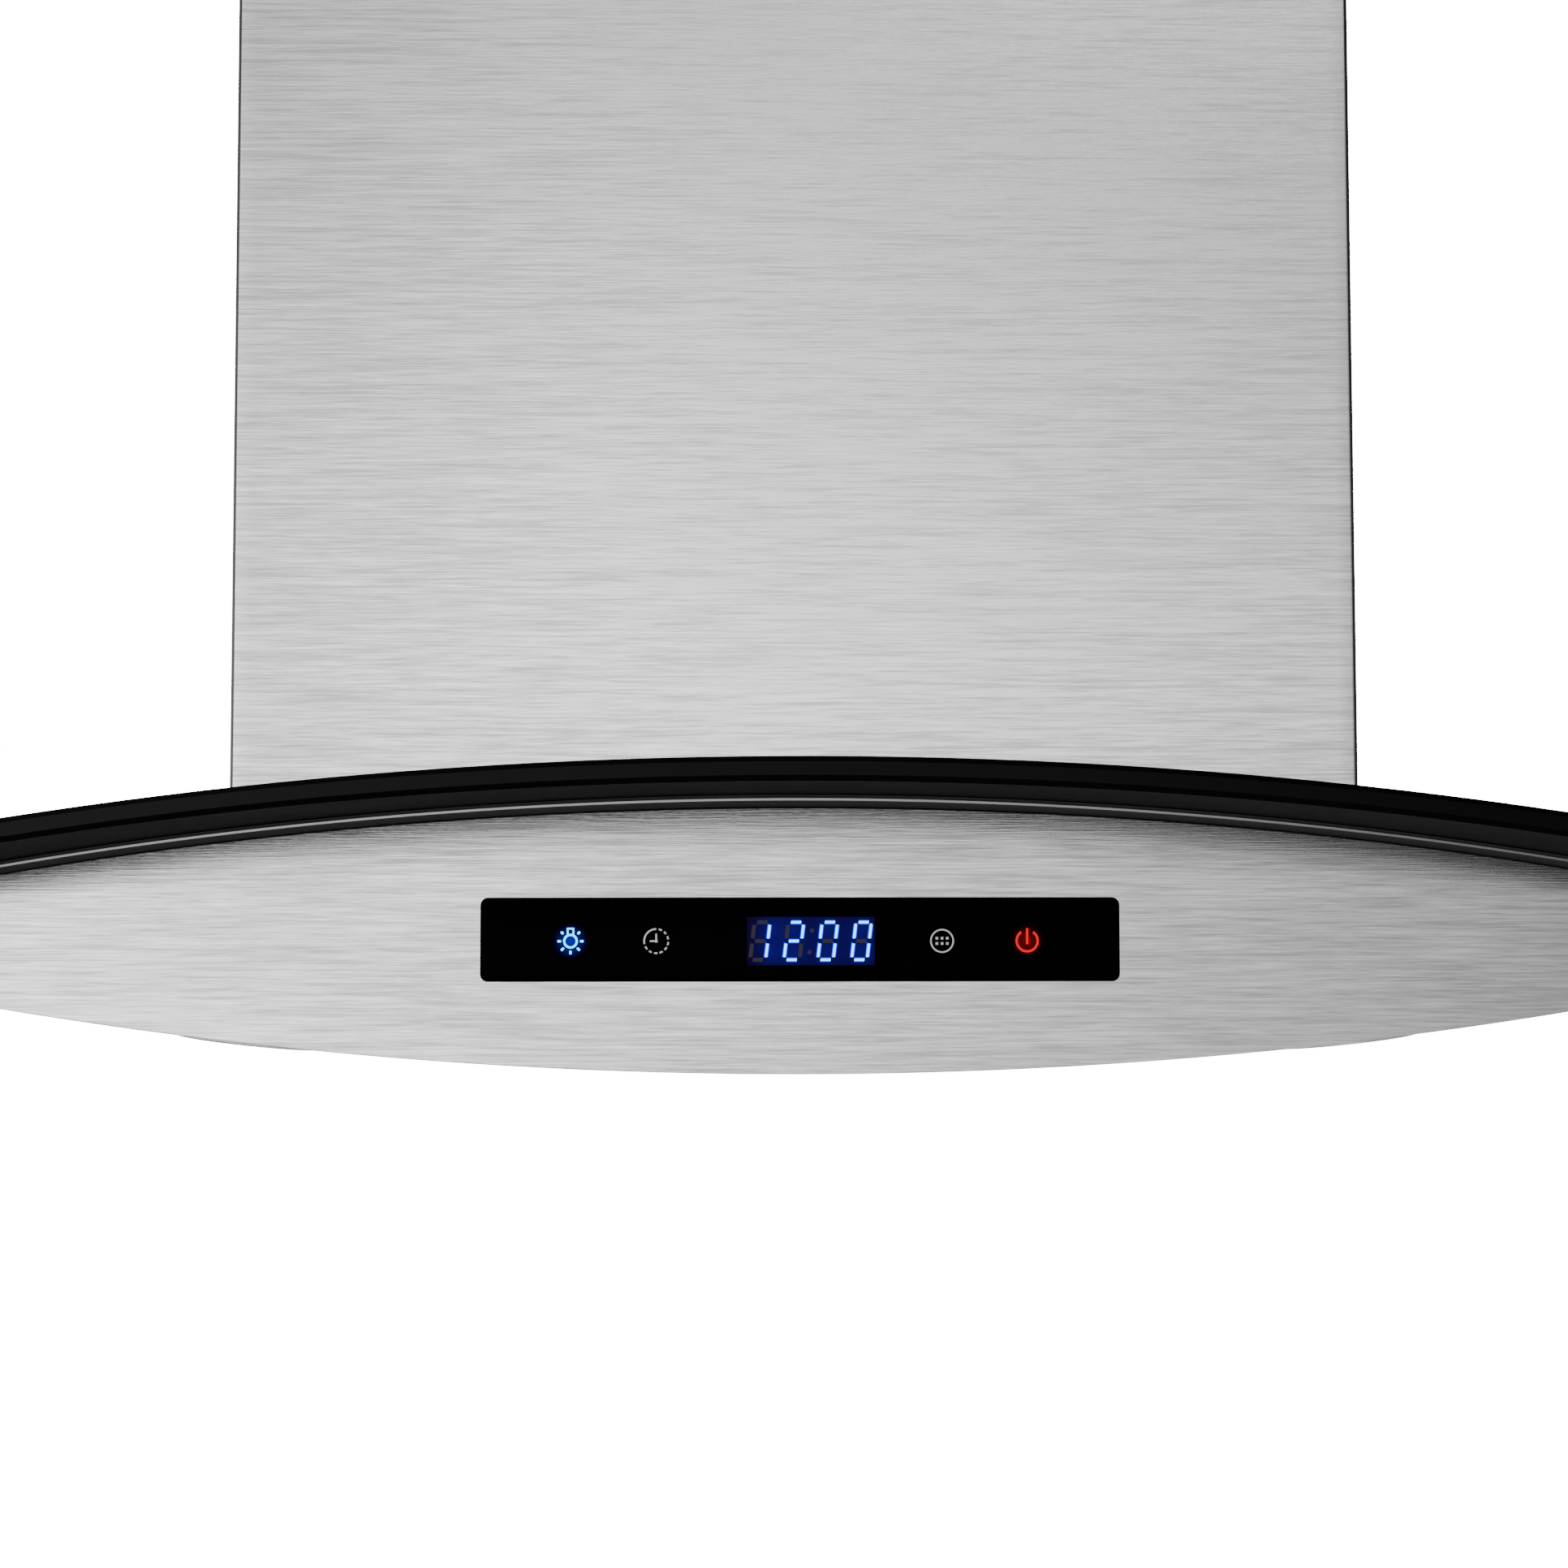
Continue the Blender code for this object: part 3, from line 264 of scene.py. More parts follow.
    def weld(self, distance: float = 1e-5) -> Piece:
        """Merges doubles and turns the faces outwards."""
        with self.vice(Picks.CORNERS):
            bpy.ops.mesh.remove_doubles(threshold=distance)
            bpy.ops.mesh.normals_make_consistent(inside=False)
        return self

    def reshape(self, rule: Callable[[Vector], Sequence[float]]) -> Piece:
        """Moves every corner to where the rule puts it."""
        for corner in self.item.data.vertices:
            corner.co = rule(corner.co.copy())
        self.item.data.update()
        return self

    def place(self, matrix: Matrix) -> Piece:
        """Moves the mesh itself, with the object left at the origin."""
        self.item.data.transform(matrix)
        self.item.data.update()
        return self

    # -- modifiers and joins
    def modify(self, kind: str, **settings: object) -> Piece:
        """Adds a modifier and applies it."""
        deselect()
        self.item.select_set(True)
        bpy.context.view_layer.objects.active = self.item
        modifier = self.item.modifiers.new(kind.lower(), kind)
        for key, value in settings.items():
            setattr(modifier, key, value)
        bpy.ops.object.modifier_apply(modifier=modifier.name)
        return self

    def thicken(self, wall: float, toward: Sequence[float]) -> Piece:
        """Gives a sheet its wall, on the side of its largest face that a direction points to."""
        largest = max(self.item.data.polygons, key=lambda face: face.area)
        side = 1.0 if largest.normal.dot(Vector(toward)) > 0 else -1.0
        return self.modify("SOLIDIFY", thickness=wall, offset=side, use_even_offset=True).weld(1e-6)

    def soften(self, width: float, steps: int = 2, angle: float = 35.0) -> Piece:
        """Rounds every edge that is sharper than an angle in degrees."""
        return self.modify("BEVEL", width=width, segments=steps, limit_method="ANGLE",
                           angle_limit=math.radians(angle), use_clamp_overlap=True)

    def cut(self, *tools: Piece, operation: str = "DIFFERENCE") -> Piece:
        """Cuts with other pieces, which are used up."""
        for tool in tools:
            self.modify("BOOLEAN", object=tool.item, operation=operation, solver="EXACT")
            bpy.data.objects.remove(tool.item, do_unlink=True)
        return self

    def twin(self, name: str, matrix: Matrix | None = None) -> Piece:
        """A copy with its own mesh, moved by a matrix."""
        item = self.item.copy()
        item.data = self.item.data.copy()
        item.name = item.data.name = name
        bpy.context.scene.collection.objects.link(item)
        copy = Piece(item)
        return copy.place(matrix) if matrix else copy

    def join(self, *others: Piece) -> Piece:
        """Puts other pieces into this one's mesh."""
        deselect()
        for other in (*others, self):
            other.item.select_set(True)
        bpy.context.view_layer.objects.active = self.item
        bpy.ops.object.join()
        return self

    def shade(self, angle: float = 32.0) -> Piece:
        """Shades the piece smooth, with creases at edges sharper than an angle in degrees."""
        deselect()
        self.item.select_set(True)
        bpy.context.view_layer.objects.active = self.item
        bpy.ops.object.shade_smooth_by_angle(angle=math.radians(angle))
        return self

    # -- dressing
    def dress(self, finish: "Finish", body: str, slot: str, *replaced: str) -> Piece:
        """Gives the piece its finish, its body and the CAD nodes it stands for.

        Args:
            finish: The finish of the whole piece.
            body: The CAD body that it moves with.
            slot: The record's material slot; not used.
            replaced: CAD nodes that it stands for.

        Returns:
            The piece.
        """
        self.item.data.materials.clear()
        self.item.data.materials.append(finish.material())
        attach(self.item, body)
        if replaced:
            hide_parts(*replaced)
        LOG.info("%s: %d faces, with %s", self.item.name, len(self.item.data.polygons), body)
        return self

    def second_finish(self, finish: "Finish", test: Callable[[bpy.types.MeshPolygon], bool]) -> Piece:
        """Gives the faces that pass a test another finish."""
        self.item.data.materials.append(finish.material())
        number = len(self.item.data.materials) - 1
        for face in self.item.data.polygons:
            if test(face):
                face.material_index = number
        return self


def middle_of(face: bmesh.types.BMFace) -> Vector:
    """Middle of a face in edit mode."""
    return face.calc_center_median()


def is_rim(edge: bmesh.types.BMEdge) -> bool:
    """Whether an edge is on the outline of a sheet."""
    return edge.is_boundary


# ---------------------------------------------------------------- node work
class Sheet:
    """A node tree that is filled with few words."""

    def __init__(self, tree: bpy.types.NodeTree) -> None:
        """Takes an empty tree."""
        self.tree = tree

    def add(self, kind: str, inputs: dict | None = None, **settings: object) -> bpy.types.Node:
        """Adds a node.

        Args:
            kind: The node's type name, without its ShaderNode prefix.
            inputs: Values or other nodes' sockets, by input name or number.
            settings: The node's own settings.

        Returns:
            The node.
        """
        made = self.tree.nodes.new("ShaderNode" + kind)
        for key, value in settings.items():
            setattr(made, key, value)
        for key, value in (inputs or {}).items():
            socket = made.inputs[key]
            if isinstance(value, bpy.types.NodeSocket):
                self.tree.links.new(value, socket)
            else:
                socket.default_value = value
        return made

    def math(self, operation: str, *values: object, clamp: bool = False) -> bpy.types.NodeSocket:
        """A Math node's result."""
        return self.add("Math", dict(enumerate(values)), operation=operation, use_clamp=clamp).outputs[0]

    def ramp(self, value: object, low: float, high: float, to_low: float,
             to_high: float) -> bpy.types.NodeSocket:
        """A value mapped from one range to another, with soft ends."""
        made = self.add("MapRange", interpolation_type="SMOOTHSTEP")
        for number, entry in enumerate((value, low, high, to_low, to_high)):
            if isinstance(entry, bpy.types.NodeSocket):
                self.tree.links.new(entry, made.inputs[number])
            else:
                made.inputs[number].default_value = entry
        return made.outputs[0]

    def mix(self, mask: object, first: object, second: object) -> bpy.types.NodeSocket:
        """A colour between two others."""
        made = self.add("Mix", data_type="RGBA")
        for number, entry in ((0, mask), (6, first), (7, second)):
            if isinstance(entry, bpy.types.NodeSocket):
                self.tree.links.new(entry, made.inputs[number])
            else:
                made.inputs[number].default_value = entry
        return made.outputs[2]


class Effect(Enum):
    """The shader node groups that several finishes share."""

    BRUSHED_GRAIN = "brushed grain"
    HANDLING = "handling marks"
    SPECKLE = "moulded speckle"
    SPANGLE = "zinc spangle"
    DUST = "settled dust"
    GLOW = "glow spot"
    # Painted shade: a dark line along each upright bend of a cover.
    EDGE_BAND = "edge band"

    def group(self) -> bpy.types.NodeTree:
        """The node group, which is built the first time it is asked for."""
        found = bpy.data.node_groups.get(self.value)
        return found or getattr(EffectMaker(self.value), self.name.lower())()


class EffectMaker:
    """Builds the shared node groups."""

    def __init__(self, name: str) -> None:
        """Starts an empty group."""
        self.tree = bpy.data.node_groups.new(name, "ShaderNodeTree")
        self.sheet = Sheet(self.tree)
        self.source = self.tree.nodes.new("NodeGroupInput")
        self.result = self.tree.nodes.new("NodeGroupOutput")

    def sockets(self, inputs: dict[str, float | str], outputs: Sequence[str]) -> None:
        """Names the group's inputs, with their usual values, and its outputs."""
        for name, value in inputs.items():
            kind = "NodeSocketVector" if value == "vector" else "NodeSocketFloat"
            made = self.tree.interface.new_socket(name, in_out="INPUT", socket_type=kind)
            if value != "vector":
                made.default_value = value
        for name in outputs:
            self.tree.interface.new_socket(name, in_out="OUTPUT", socket_type="NodeSocketFloat")

    def take(self, name: str) -> bpy.types.NodeSocket:
        """One of the group's inputs."""
        return self.source.outputs[name]

    def give(self, **values: bpy.types.NodeSocket) -> bpy.types.NodeTree:
        """Wires the group's outputs."""
        for name, socket in values.items():
            self.tree.links.new(socket, self.result.inputs[name])
        return self.tree

    def stretched(self, scale: Sequence[float], detail: float, rough: float = 0.5) -> bpy.types.NodeSocket:
        """Noise on the Vector input, stretched by a scale along each axis."""
        spread = self.sheet.add("Mapping", {"Vector": self.take("Vector"), "Scale": scale}).outputs[0]
        return self.sheet.add("TexNoise", {"Vector": spread, "Scale": 1.0, "Detail": detail,
                                           "Roughness": rough}).outputs["Fac"]

    def brushed_grain(self) -> bpy.types.NodeTree:
        """Fine lines along X and Y, with a few longer bands and sparse bright hairlines."""
        self.sockets({"Vector": "vector", "Contrast": 1.0}, ("Grain", "Hairlines"))
        fine = self.stretched((62, 62, 2700), 3.0, 0.66)
        band = self.stretched((26, 26, 780), 2.0)
        hair = self.stretched((30, 30, 3400), 1.0)
        both = self.sheet.math("ADD", self.sheet.math("MULTIPLY", fine, 0.66),
                               self.sheet.math("MULTIPLY", band, 0.34))
        spread = self.sheet.math("MULTIPLY_ADD", self.sheet.math("SUBTRACT", both, 0.5),
                                 self.take("Contrast"), 0.5)
        lines = self.sheet.ramp(hair, 0.66, 0.78, 0.0, 1.0)
        return self.give(Grain=self.sheet.math("ADD", spread, 0.0, clamp=True), Hairlines=lines)

    def handling(self) -> bpy.types.NodeTree:
        """Broad soft smears."""
        self.sockets({"Vector": "vector", "Scale": 9.0}, ("Smear",))
        wide = self.sheet.add("TexNoise",
                              {"Vector": self.take("Vector"), "Scale": self.take("Scale"), "Detail": 3.0,
                                           "Distortion": 0.6}).outputs["Fac"]
        return self.give(Smear=self.sheet.ramp(wide, 0.35, 0.70, 0.0, 1.0))

    def speckle(self) -> bpy.types.NodeTree:
        """The fine spark-eroded texture of a mould."""
        self.sockets({"Vector": "vector", "Scale": 2200.0}, ("Height", "Tone"))
        grit = self.sheet.add("TexNoise", {"Vector": self.take("Vector"), "Scale": self.take("Scale"),
                                           "Detail": 2.0}).outputs["Fac"]
        cells = self.sheet.add("TexVoronoi",
                               {"Vector": self.take("Vector"),
                                "Scale": self.take("Scale")}).outputs["Distance"]
        return self.give(Height=self.sheet.math("MULTIPLY", grit, cells), Tone=grit)

    def spangle(self) -> bpy.types.NodeTree:
        """The feathered crystals of a zinc coating."""
        self.sockets({"Vector": "vector", "Scale": 130.0}, ("Crystal", "Feather"))
        bent = self.sheet.add("TexNoise", {"Vector": self.take("Vector"), "Scale": 60.0, "Detail": 2.0})
        moved = self.sheet.add("VectorMath", {0: self.take("Vector"), 1: self.sheet.add(
            "VectorMath", {0: bent.outputs["Color"],
                           "Scale": 0.004}, operation="SCALE").outputs[0]}).outputs[0]
        cells = self.sheet.add("TexVoronoi", {"Vector": moved, "Scale": self.take("Scale")})
        tone = self.sheet.add("SeparateColor", {0: cells.outputs["Color"]}).outputs[0]
        return self.give(Crystal=tone, Feather=self.sheet.ramp(cells.outputs["Distance"], 0.0, 0.7, 0.0, 1.0))

    def dust(self) -> bpy.types.NodeTree:
        """Dust on faces that look up, in soft patches."""
        self.sockets({"Vector": "vector", "Amount": 0.4}, ("Mask",))
        up = self.sheet.add("SeparateXYZ", {0: self.sheet.add("NewGeometry").outputs["Normal"]}).outputs["Z"]
        patch = self.sheet.add("TexNoise",
                               {"Vector": self.take("Vector"), "Scale": 14.0, "Detail": 5.0}).outputs["Fac"]
        fleck = self.sheet.add("TexNoise",
                               {"Vector": self.take("Vector"), "Scale": 900.0, "Detail": 1.0}).outputs["Fac"]
        cover = self.sheet.math("MULTIPLY", self.sheet.ramp(up, 0.35, 1.0, 0.0, 1.0),
                                self.sheet.ramp(patch, 0.30, 0.75, 0.25, 1.0))
        flecked = self.sheet.math("MULTIPLY", cover, self.sheet.ramp(fleck, 0.35, 0.65, 0.5, 1.0))
        return self.give(Mask=self.sheet.math("MULTIPLY", flecked, self.take("Amount")))

    def glow(self) -> bpy.types.NodeTree:
        """Light that fades away from a point."""
        self.sockets({"Vector": "vector", "Centre": "vector", "Reach": 0.004}, ("Mask",))
        away = self.sheet.add("VectorMath", {0: self.take("Vector"), 1: self.take("Centre")},
                              operation="DISTANCE").outputs["Value"]
        near = self.sheet.math("SUBTRACT", 1.0, self.sheet.math("DIVIDE", away, self.take("Reach")),
                               clamp=True)
        return self.give(Mask=self.sheet.math("POWER", near, 2.0))

    def edge_band(self) -> bpy.types.NodeTree:
        """A painted dark shade line along both upright bends of a cover, at a distance from its middle plane.
        """
        self.sockets({"Vector": "vector", "Distance": 0.169, "Width": 0.0005}, ("Mask",))
        across = self.sheet.math("ABSOLUTE",
                                 self.sheet.add("SeparateXYZ", {0: self.take("Vector")}).outputs["X"])
        off = self.sheet.math("ABSOLUTE", self.sheet.math("SUBTRACT", across, self.take("Distance")))
        return self.give(Mask=self.sheet.ramp(self.sheet.math("DIVIDE", off, self.take("Width")), 0.5, 1.1,
                                              1.0, 0.0))


# ---------------------------------------------------------------- finishes
def tinted(colour: Colour, factor: float = 1.0) -> tuple[float, float, float, float]:
    """A colour times a factor, as a socket takes it."""
    return (*(min(1.0, part * factor) for part in colour), 1.0)


class Finish:
    """A material that is built once, the first time a piece asks for it."""

    name: str

    def material(self) -> bpy.types.Material:
        """The Blender material of this finish."""
        found = bpy.data.materials.get(self.name)
        if found:
            return found
        made = bpy.data.materials.new(self.name)
        made.use_nodes = True
        sheet = Sheet(made.node_tree)
        shader = made.node_tree.nodes["Principled BSDF"]
        place = sheet.add("TexCoord").outputs["Object"]
        self.fill(sheet, shader, place)
        return made

    def fill(self, sheet: Sheet, shader: bpy.types.Node, place: bpy.types.NodeSocket) -> None:
        """Wires the finish's own nodes into its shader.

        Args:
            sheet: The material's node tree.
            shader: Its Principled BSDF.
            place: Object coordinates.
        """
        raise NotImplementedError

    @staticmethod
    def effect(sheet: Sheet, effect: Effect, **inputs: object) -> bpy.types.NodeOutputs:
        """Places a shared group and gives its outputs."""
        made = sheet.add("Group", node_tree=effect.group())
        for name, value in inputs.items():
            if isinstance(value, bpy.types.NodeSocket):
                sheet.tree.links.new(value, made.inputs[name])
            else:
                made.inputs[name].default_value = value
        return made.outputs

    @staticmethod
    def bump(sheet: Sheet, shader: bpy.types.Node, height: bpy.types.NodeSocket, depth: float) -> None:
        """Feeds a height, with its depth in metres, to the shader's normal."""
        made = sheet.add("Bump", {"Height": height, "Distance": depth, "Strength": 1.0})
        sheet.tree.links.new(made.outputs[0], shader.inputs["Normal"])


class GrainRun(Enum):
    """Which way the fine lines of a brushed sheet are packed."""

    UPRIGHT = (0.0, 0.0, 0.0)
    ACROSS_DEPTH = (math.pi / 2, 0.0, 0.0)


@dataclass(frozen=True)
class BrushedSteel(Finish):
    """Satin steel with fine lines and smears; on bent covers, painted shade lines along the bends and a
    painted sheen gradient across the width.
    """

    name: str
    colour: Colour
    roughness: float = 0.30
    contrast: float = 1.0
    depth: float = 0.30
    run: GrainRun = GrainRun.UPRIGHT
    bend_at: float = 0.0
    # How deep the painted sheen is: light and shade painted into the base colour across the width.
    drift: float = 0.0

    def fill(self, sheet: Sheet, shader: bpy.types.Node, place: bpy.types.NodeSocket) -> None:
        """Lines in colour, roughness and height; smears in roughness; painted bend shade and painted sheen in
        colour.
        """
        laid = sheet.add("Mapping", {"Vector": place, "Rotation": self.run.value}).outputs[0]
        grain = self.effect(sheet, Effect.BRUSHED_GRAIN, Vector=laid, Contrast=2.2 * self.contrast)
        marks = self.effect(sheet, Effect.HANDLING, Vector=place, Scale=5.0)
        tone = sheet.mix(grain["Grain"], tinted(self.colour, 1 - self.depth),
                         tinted(self.colour, 1 + self.depth))
        tone = sheet.mix(sheet.math("MULTIPLY", grain["Hairlines"], 0.35), tone, tinted(self.colour, 1.35))
        # Painted shade: a thin near-black line along each bend, in place of the dark reflection the bend
        # shows.
        if self.bend_at:
            band = self.effect(sheet, Effect.EDGE_BAND, Vector=place, Distance=self.bend_at, Width=0.00085)
            tone = sheet.mix(band["Mask"], tone, tinted(self.colour, 0.06))
        # Painted sheen: the base colour is darker at the left end, lightest at the middle and a little darker
        # to the right, painted light and shade for the light the sheet reflects.
        if self.drift:
            across = sheet.add("SeparateXYZ", {0: place}).outputs["X"]
            left = sheet.ramp(across, -0.20, 0.0, 1 - self.drift, 1 + 0.7 * self.drift)
            painted_sheen_scale = sheet.math("MULTIPLY", left, sheet.ramp(across, 0.0, 0.20, 1.0, 1 - 0.5 * self.drift))
            tone = sheet.add("VectorMath", {0: tone, "Scale": painted_sheen_scale}, operation="SCALE").outputs[0]
        sheet.tree.links.new(tone, shader.inputs["Base Color"])
        rough = sheet.math("MULTIPLY_ADD", grain["Grain"], -0.10, self.roughness + 0.05)
        rough = sheet.math("MULTIPLY_ADD", marks["Smear"], 0.03, rough)
        sheet.tree.links.new(rough, shader.inputs["Roughness"])
        shader.inputs["Metallic"].default_value = 1.0
        self.bump(sheet, shader, grain["Grain"], 0.000012)


@dataclass(frozen=True)
class BlackGlass(Finish):
    """Toughened black glass with a little handling and settled dust."""

    name: str
    colour: Colour = (0.004, 0.004, 0.005)
    roughness: float = 0.03
    specular: float = 0.5
    dust: float = 0.10

    def fill(self, sheet: Sheet, shader: bpy.types.Node, place: bpy.types.NodeSocket) -> None:
        """Smears in roughness and dust in colour."""
        marks = self.effect(sheet, Effect.HANDLING, Vector=place, Scale=6.0)
        dust = self.effect(sheet, Effect.DUST, Vector=place, Amount=self.dust)
        sheet.tree.links.new(sheet.mix(dust["Mask"], tinted(self.colour), tinted((0.30, 0.29, 0.28))),
                             shader.inputs["Base Color"])
        rough = sheet.math("MULTIPLY_ADD", marks["Smear"], 0.05, self.roughness)
        rough = sheet.math("MULTIPLY_ADD", dust["Mask"], 0.9, rough)
        sheet.tree.links.new(rough, shader.inputs["Roughness"])
        shader.inputs["Specular IOR Level"].default_value = self.specular


@dataclass(frozen=True)
class MatteBlack(Finish):
    """Fired enamel, rubber or moulded plastic, by its colour, sheen and speckle."""

    name: str
    colour: Colour
    roughness: float = 0.55
    specular: float = 0.4
    speckle: float = 2200.0
    height: float = 0.00002

    def fill(self, sheet: Sheet, shader: bpy.types.Node, place: bpy.types.NodeSocket) -> None:
        """Speckle in height, colour and roughness."""
        grit = self.effect(sheet, Effect.SPECKLE, Vector=place, Scale=self.speckle)
        marks = self.effect(sheet, Effect.HANDLING, Vector=place, Scale=12.0)
        shade = sheet.mix(grit["Tone"], tinted(self.colour, 0.75), tinted(self.colour, 1.25))
        sheet.tree.links.new(shade, shader.inputs["Base Color"])
        rough = sheet.math("MULTIPLY_ADD", marks["Smear"], -0.08, self.roughness + 0.03)
        sheet.tree.links.new(rough, shader.inputs["Roughness"])
        shader.inputs["Specular IOR Level"].default_value = self.specular
        self.bump(sheet, shader, grit["Height"], self.height)


@dataclass(frozen=True)
class ZincPlate(Finish):
    """Zinc-coated sheet with its crystals, or bright plated fasteners."""

    name: str
    colour: Colour = (0.50, 0.515, 0.53)
    roughness: float = 0.42
    crystal: float = 130.0
    dust: float = 0.25

    def fill(self, sheet: Sheet, shader: bpy.types.Node, place: bpy.types.NodeSocket) -> None:
        """Crystals in colour and roughness, dust on top."""
        zinc = self.effect(sheet, Effect.SPANGLE, Vector=place, Scale=self.crystal)
        dust = self.effect(sheet, Effect.DUST, Vector=place, Amount=self.dust)
        shade = sheet.mix(zinc["Crystal"], tinted(self.colour, 0.86), tinted(self.colour, 1.16))
        shade = sheet.mix(dust["Mask"], shade, tinted((0.36, 0.35, 0.33)))
        sheet.tree.links.new(shade, shader.inputs["Base Color"])
        rough = sheet.math("MULTIPLY_ADD", zinc["Crystal"], 0.14, self.roughness - 0.07)
        sheet.tree.links.new(sheet.math("MULTIPLY_ADD", dust["Mask"], 0.3, rough), shader.inputs["Roughness"])
        sheet.tree.links.new(sheet.math("SUBTRACT", 1.0, dust["Mask"]), shader.inputs["Metallic"])
        self.bump(sheet, shader, zinc["Feather"], 0.00002)


@dataclass(frozen=True)
class LitInk(Finish):
    """Printed or back-lit marks: a plain ink, or one that gives light."""

    name: str
    colour: Colour
    strength: float = 0.0

    def fill(self, sheet: Sheet, shader: bpy.types.Node, place: bpy.types.NodeSocket) -> None:
        """Ink with a faint unevenness, as light through a printed mask has."""
        grit = self.effect(sheet, Effect.SPECKLE, Vector=place, Scale=5200.0)
        shade = sheet.mix(grit["Tone"], tinted(self.colour, 0.94), tinted(self.colour, 1.06))
        shader.inputs["Roughness"].default_value = 0.35
        shader.inputs["Specular IOR Level"].default_value = 0.1
        if self.strength:
            shader.inputs["Base Color"].default_value = tinted(self.colour, 0.05)
            sheet.tree.links.new(shade, shader.inputs["Emission Color"])
            shader.inputs["Emission Strength"].default_value = self.strength
        else:
            sheet.tree.links.new(shade, shader.inputs["Base Color"])


@dataclass(frozen=True)
class GlowingGlass(Finish):
    """Black touch glass with the light that spills round its lit marks."""

    name: str
    spots: tuple[tuple[Sequence[float], float, Colour], ...] = ()
    base: Colour = (0.0, 0.0, 0.0)
    strength: float = 1.0

    def fill(self, sheet: Sheet, shader: bpy.types.Node, place: bpy.types.NodeSocket) -> None:
        """Adds up the glow of every spot."""
        shader.inputs["Base Color"].default_value = (0.0003, 0.0003, 0.0004, 1)
        shader.inputs["Specular IOR Level"].default_value = 0.006
        marks = self.effect(sheet, Effect.HANDLING, Vector=place, Scale=30.0)
        sheet.tree.links.new(sheet.math("MULTIPLY_ADD", marks["Smear"], 0.05, 0.05),
                             shader.inputs["Roughness"])
        light = tinted(self.base)
        for centre, reach, colour in self.spots:
            spot = self.effect(sheet, Effect.GLOW, Vector=place, Centre=centre, Reach=reach)
            light = sheet.mix(spot["Mask"], light, tinted(colour))
        if self.spots:
            sheet.tree.links.new(light, shader.inputs["Emission Color"])
            shader.inputs["Emission Strength"].default_value = self.strength


@dataclass(frozen=True)
class Diffuser(Finish):
    """A frosted white lens with a faint honeycomb."""

    name: str
    colour: Colour = (0.86, 0.86, 0.82)

    def fill(self, sheet: Sheet, shader: bpy.types.Node, place: bpy.types.NodeSocket) -> None:
        """Cells in height and colour."""
        cells = sheet.add("TexVoronoi", {"Vector": place, "Scale": 620.0}).outputs["Distance"]
        sheet.tree.links.new(sheet.mix(cells, tinted(self.colour), tinted(self.colour, 0.85)),
                             shader.inputs["Base Color"])
        shader.inputs["Roughness"].default_value = 0.22
        shader.inputs["Coat Weight"].default_value = 0.3
        sheet.tree.links.new(sheet.mix(cells, (1.0, 0.97, 0.90, 1), (0.80, 0.78, 0.72, 1)),
                             shader.inputs["Emission Color"])
        shader.inputs["Emission Strength"].default_value = 0.25
        self.bump(sheet, shader, cells, 0.0002)


@dataclass(frozen=True)
class CircuitBoard(Finish):
    """Green mask with copper tracks under it and bare pads."""

    name: str

    def fill(self, sheet: Sheet, shader: bpy.types.Node, place: bpy.types.NodeSocket) -> None:
        """Tracks from bricks along X, pads from cells."""
        turned = sheet.add("Mapping", {"Vector": place, "Rotation": (math.pi / 2, 0, 0)}).outputs[0]
        track = sheet.add("TexBrick", {"Vector": turned, "Scale": 260.0, "Mortar Size": 0.06,
                                       "Color1": (0, 0, 0, 1), "Color2": (0.2, 0.2, 0.2, 1),
                                       "Mortar": (1, 1, 1, 1)}).outputs["Fac"]
        pads = sheet.add("TexVoronoi", {"Vector": turned, "Scale": 330.0}).outputs["Distance"]
        pad = sheet.ramp(pads, 0.13, 0.17, 1.0, 0.0)
        shade = sheet.mix(track, (0.008, 0.085, 0.030, 1), (0.020, 0.160, 0.060, 1))
        sheet.tree.links.new(sheet.mix(pad, shade, (0.60, 0.57, 0.50, 1)), shader.inputs["Base Color"])
        sheet.tree.links.new(pad, shader.inputs["Metallic"])
        shader.inputs["Roughness"].default_value = 0.33


# One brushed steel at three brightnesses: the covers' copy is painted lighter and the body skin's darker,
# painted light and shade for the light each part gets; the belly's copy, which faces down, is darker still.
COVER_STEEL = BrushedSteel("brushed_cover_steel", (0.79, 0.79, 0.785), roughness=0.23, contrast=2.0,
                           bend_at=0.1694, drift=0.26)
UPPER_STEEL = BrushedSteel("brushed_upper_steel", (0.79, 0.79, 0.785), roughness=0.23, contrast=2.0,
                           bend_at=0.1674, drift=0.26)
BODY_STEEL = BrushedSteel("brushed_body_steel", (0.55, 0.55, 0.545), roughness=0.23, contrast=2.0)
BELLY_STEEL = BrushedSteel("brushed_belly_steel", (0.36, 0.36, 0.357), run=GrainRun.ACROSS_DEPTH)
FILTER_METAL = BrushedSteel("satin_filter_aluminium", (0.50, 0.50, 0.51), roughness=0.34, contrast=0.5,
                            depth=0.05)
BEZEL_METAL = BrushedSteel("satin_bezel_aluminium", (0.55, 0.55, 0.56), roughness=0.24, contrast=0.4,
                           depth=0.04)
SHAFT_STEEL = BrushedSteel("ground_shaft_steel", (0.66, 0.66, 0.67), roughness=0.16, contrast=0.4, depth=0.04)
TOP_GLASS = BlackGlass("black_canopy_glass")
GROUND_EDGE = BlackGlass("ground_glass_edge", colour=(0.0012, 0.0012, 0.0013), roughness=0.12,
                         specular=0.06, dust=0.0)
LOWER_BEVEL = BlackGlass("lower_glass_bevel", colour=(0.0008, 0.0008, 0.0009), roughness=0.15,
                         specular=0.02, dust=0.0)
UNDER_GLASS = MatteBlack("fired_black_enamel", (0.0130, 0.0130, 0.0135), roughness=0.75, specular=0.01,
                         speckle=900.0, height=0.000004)
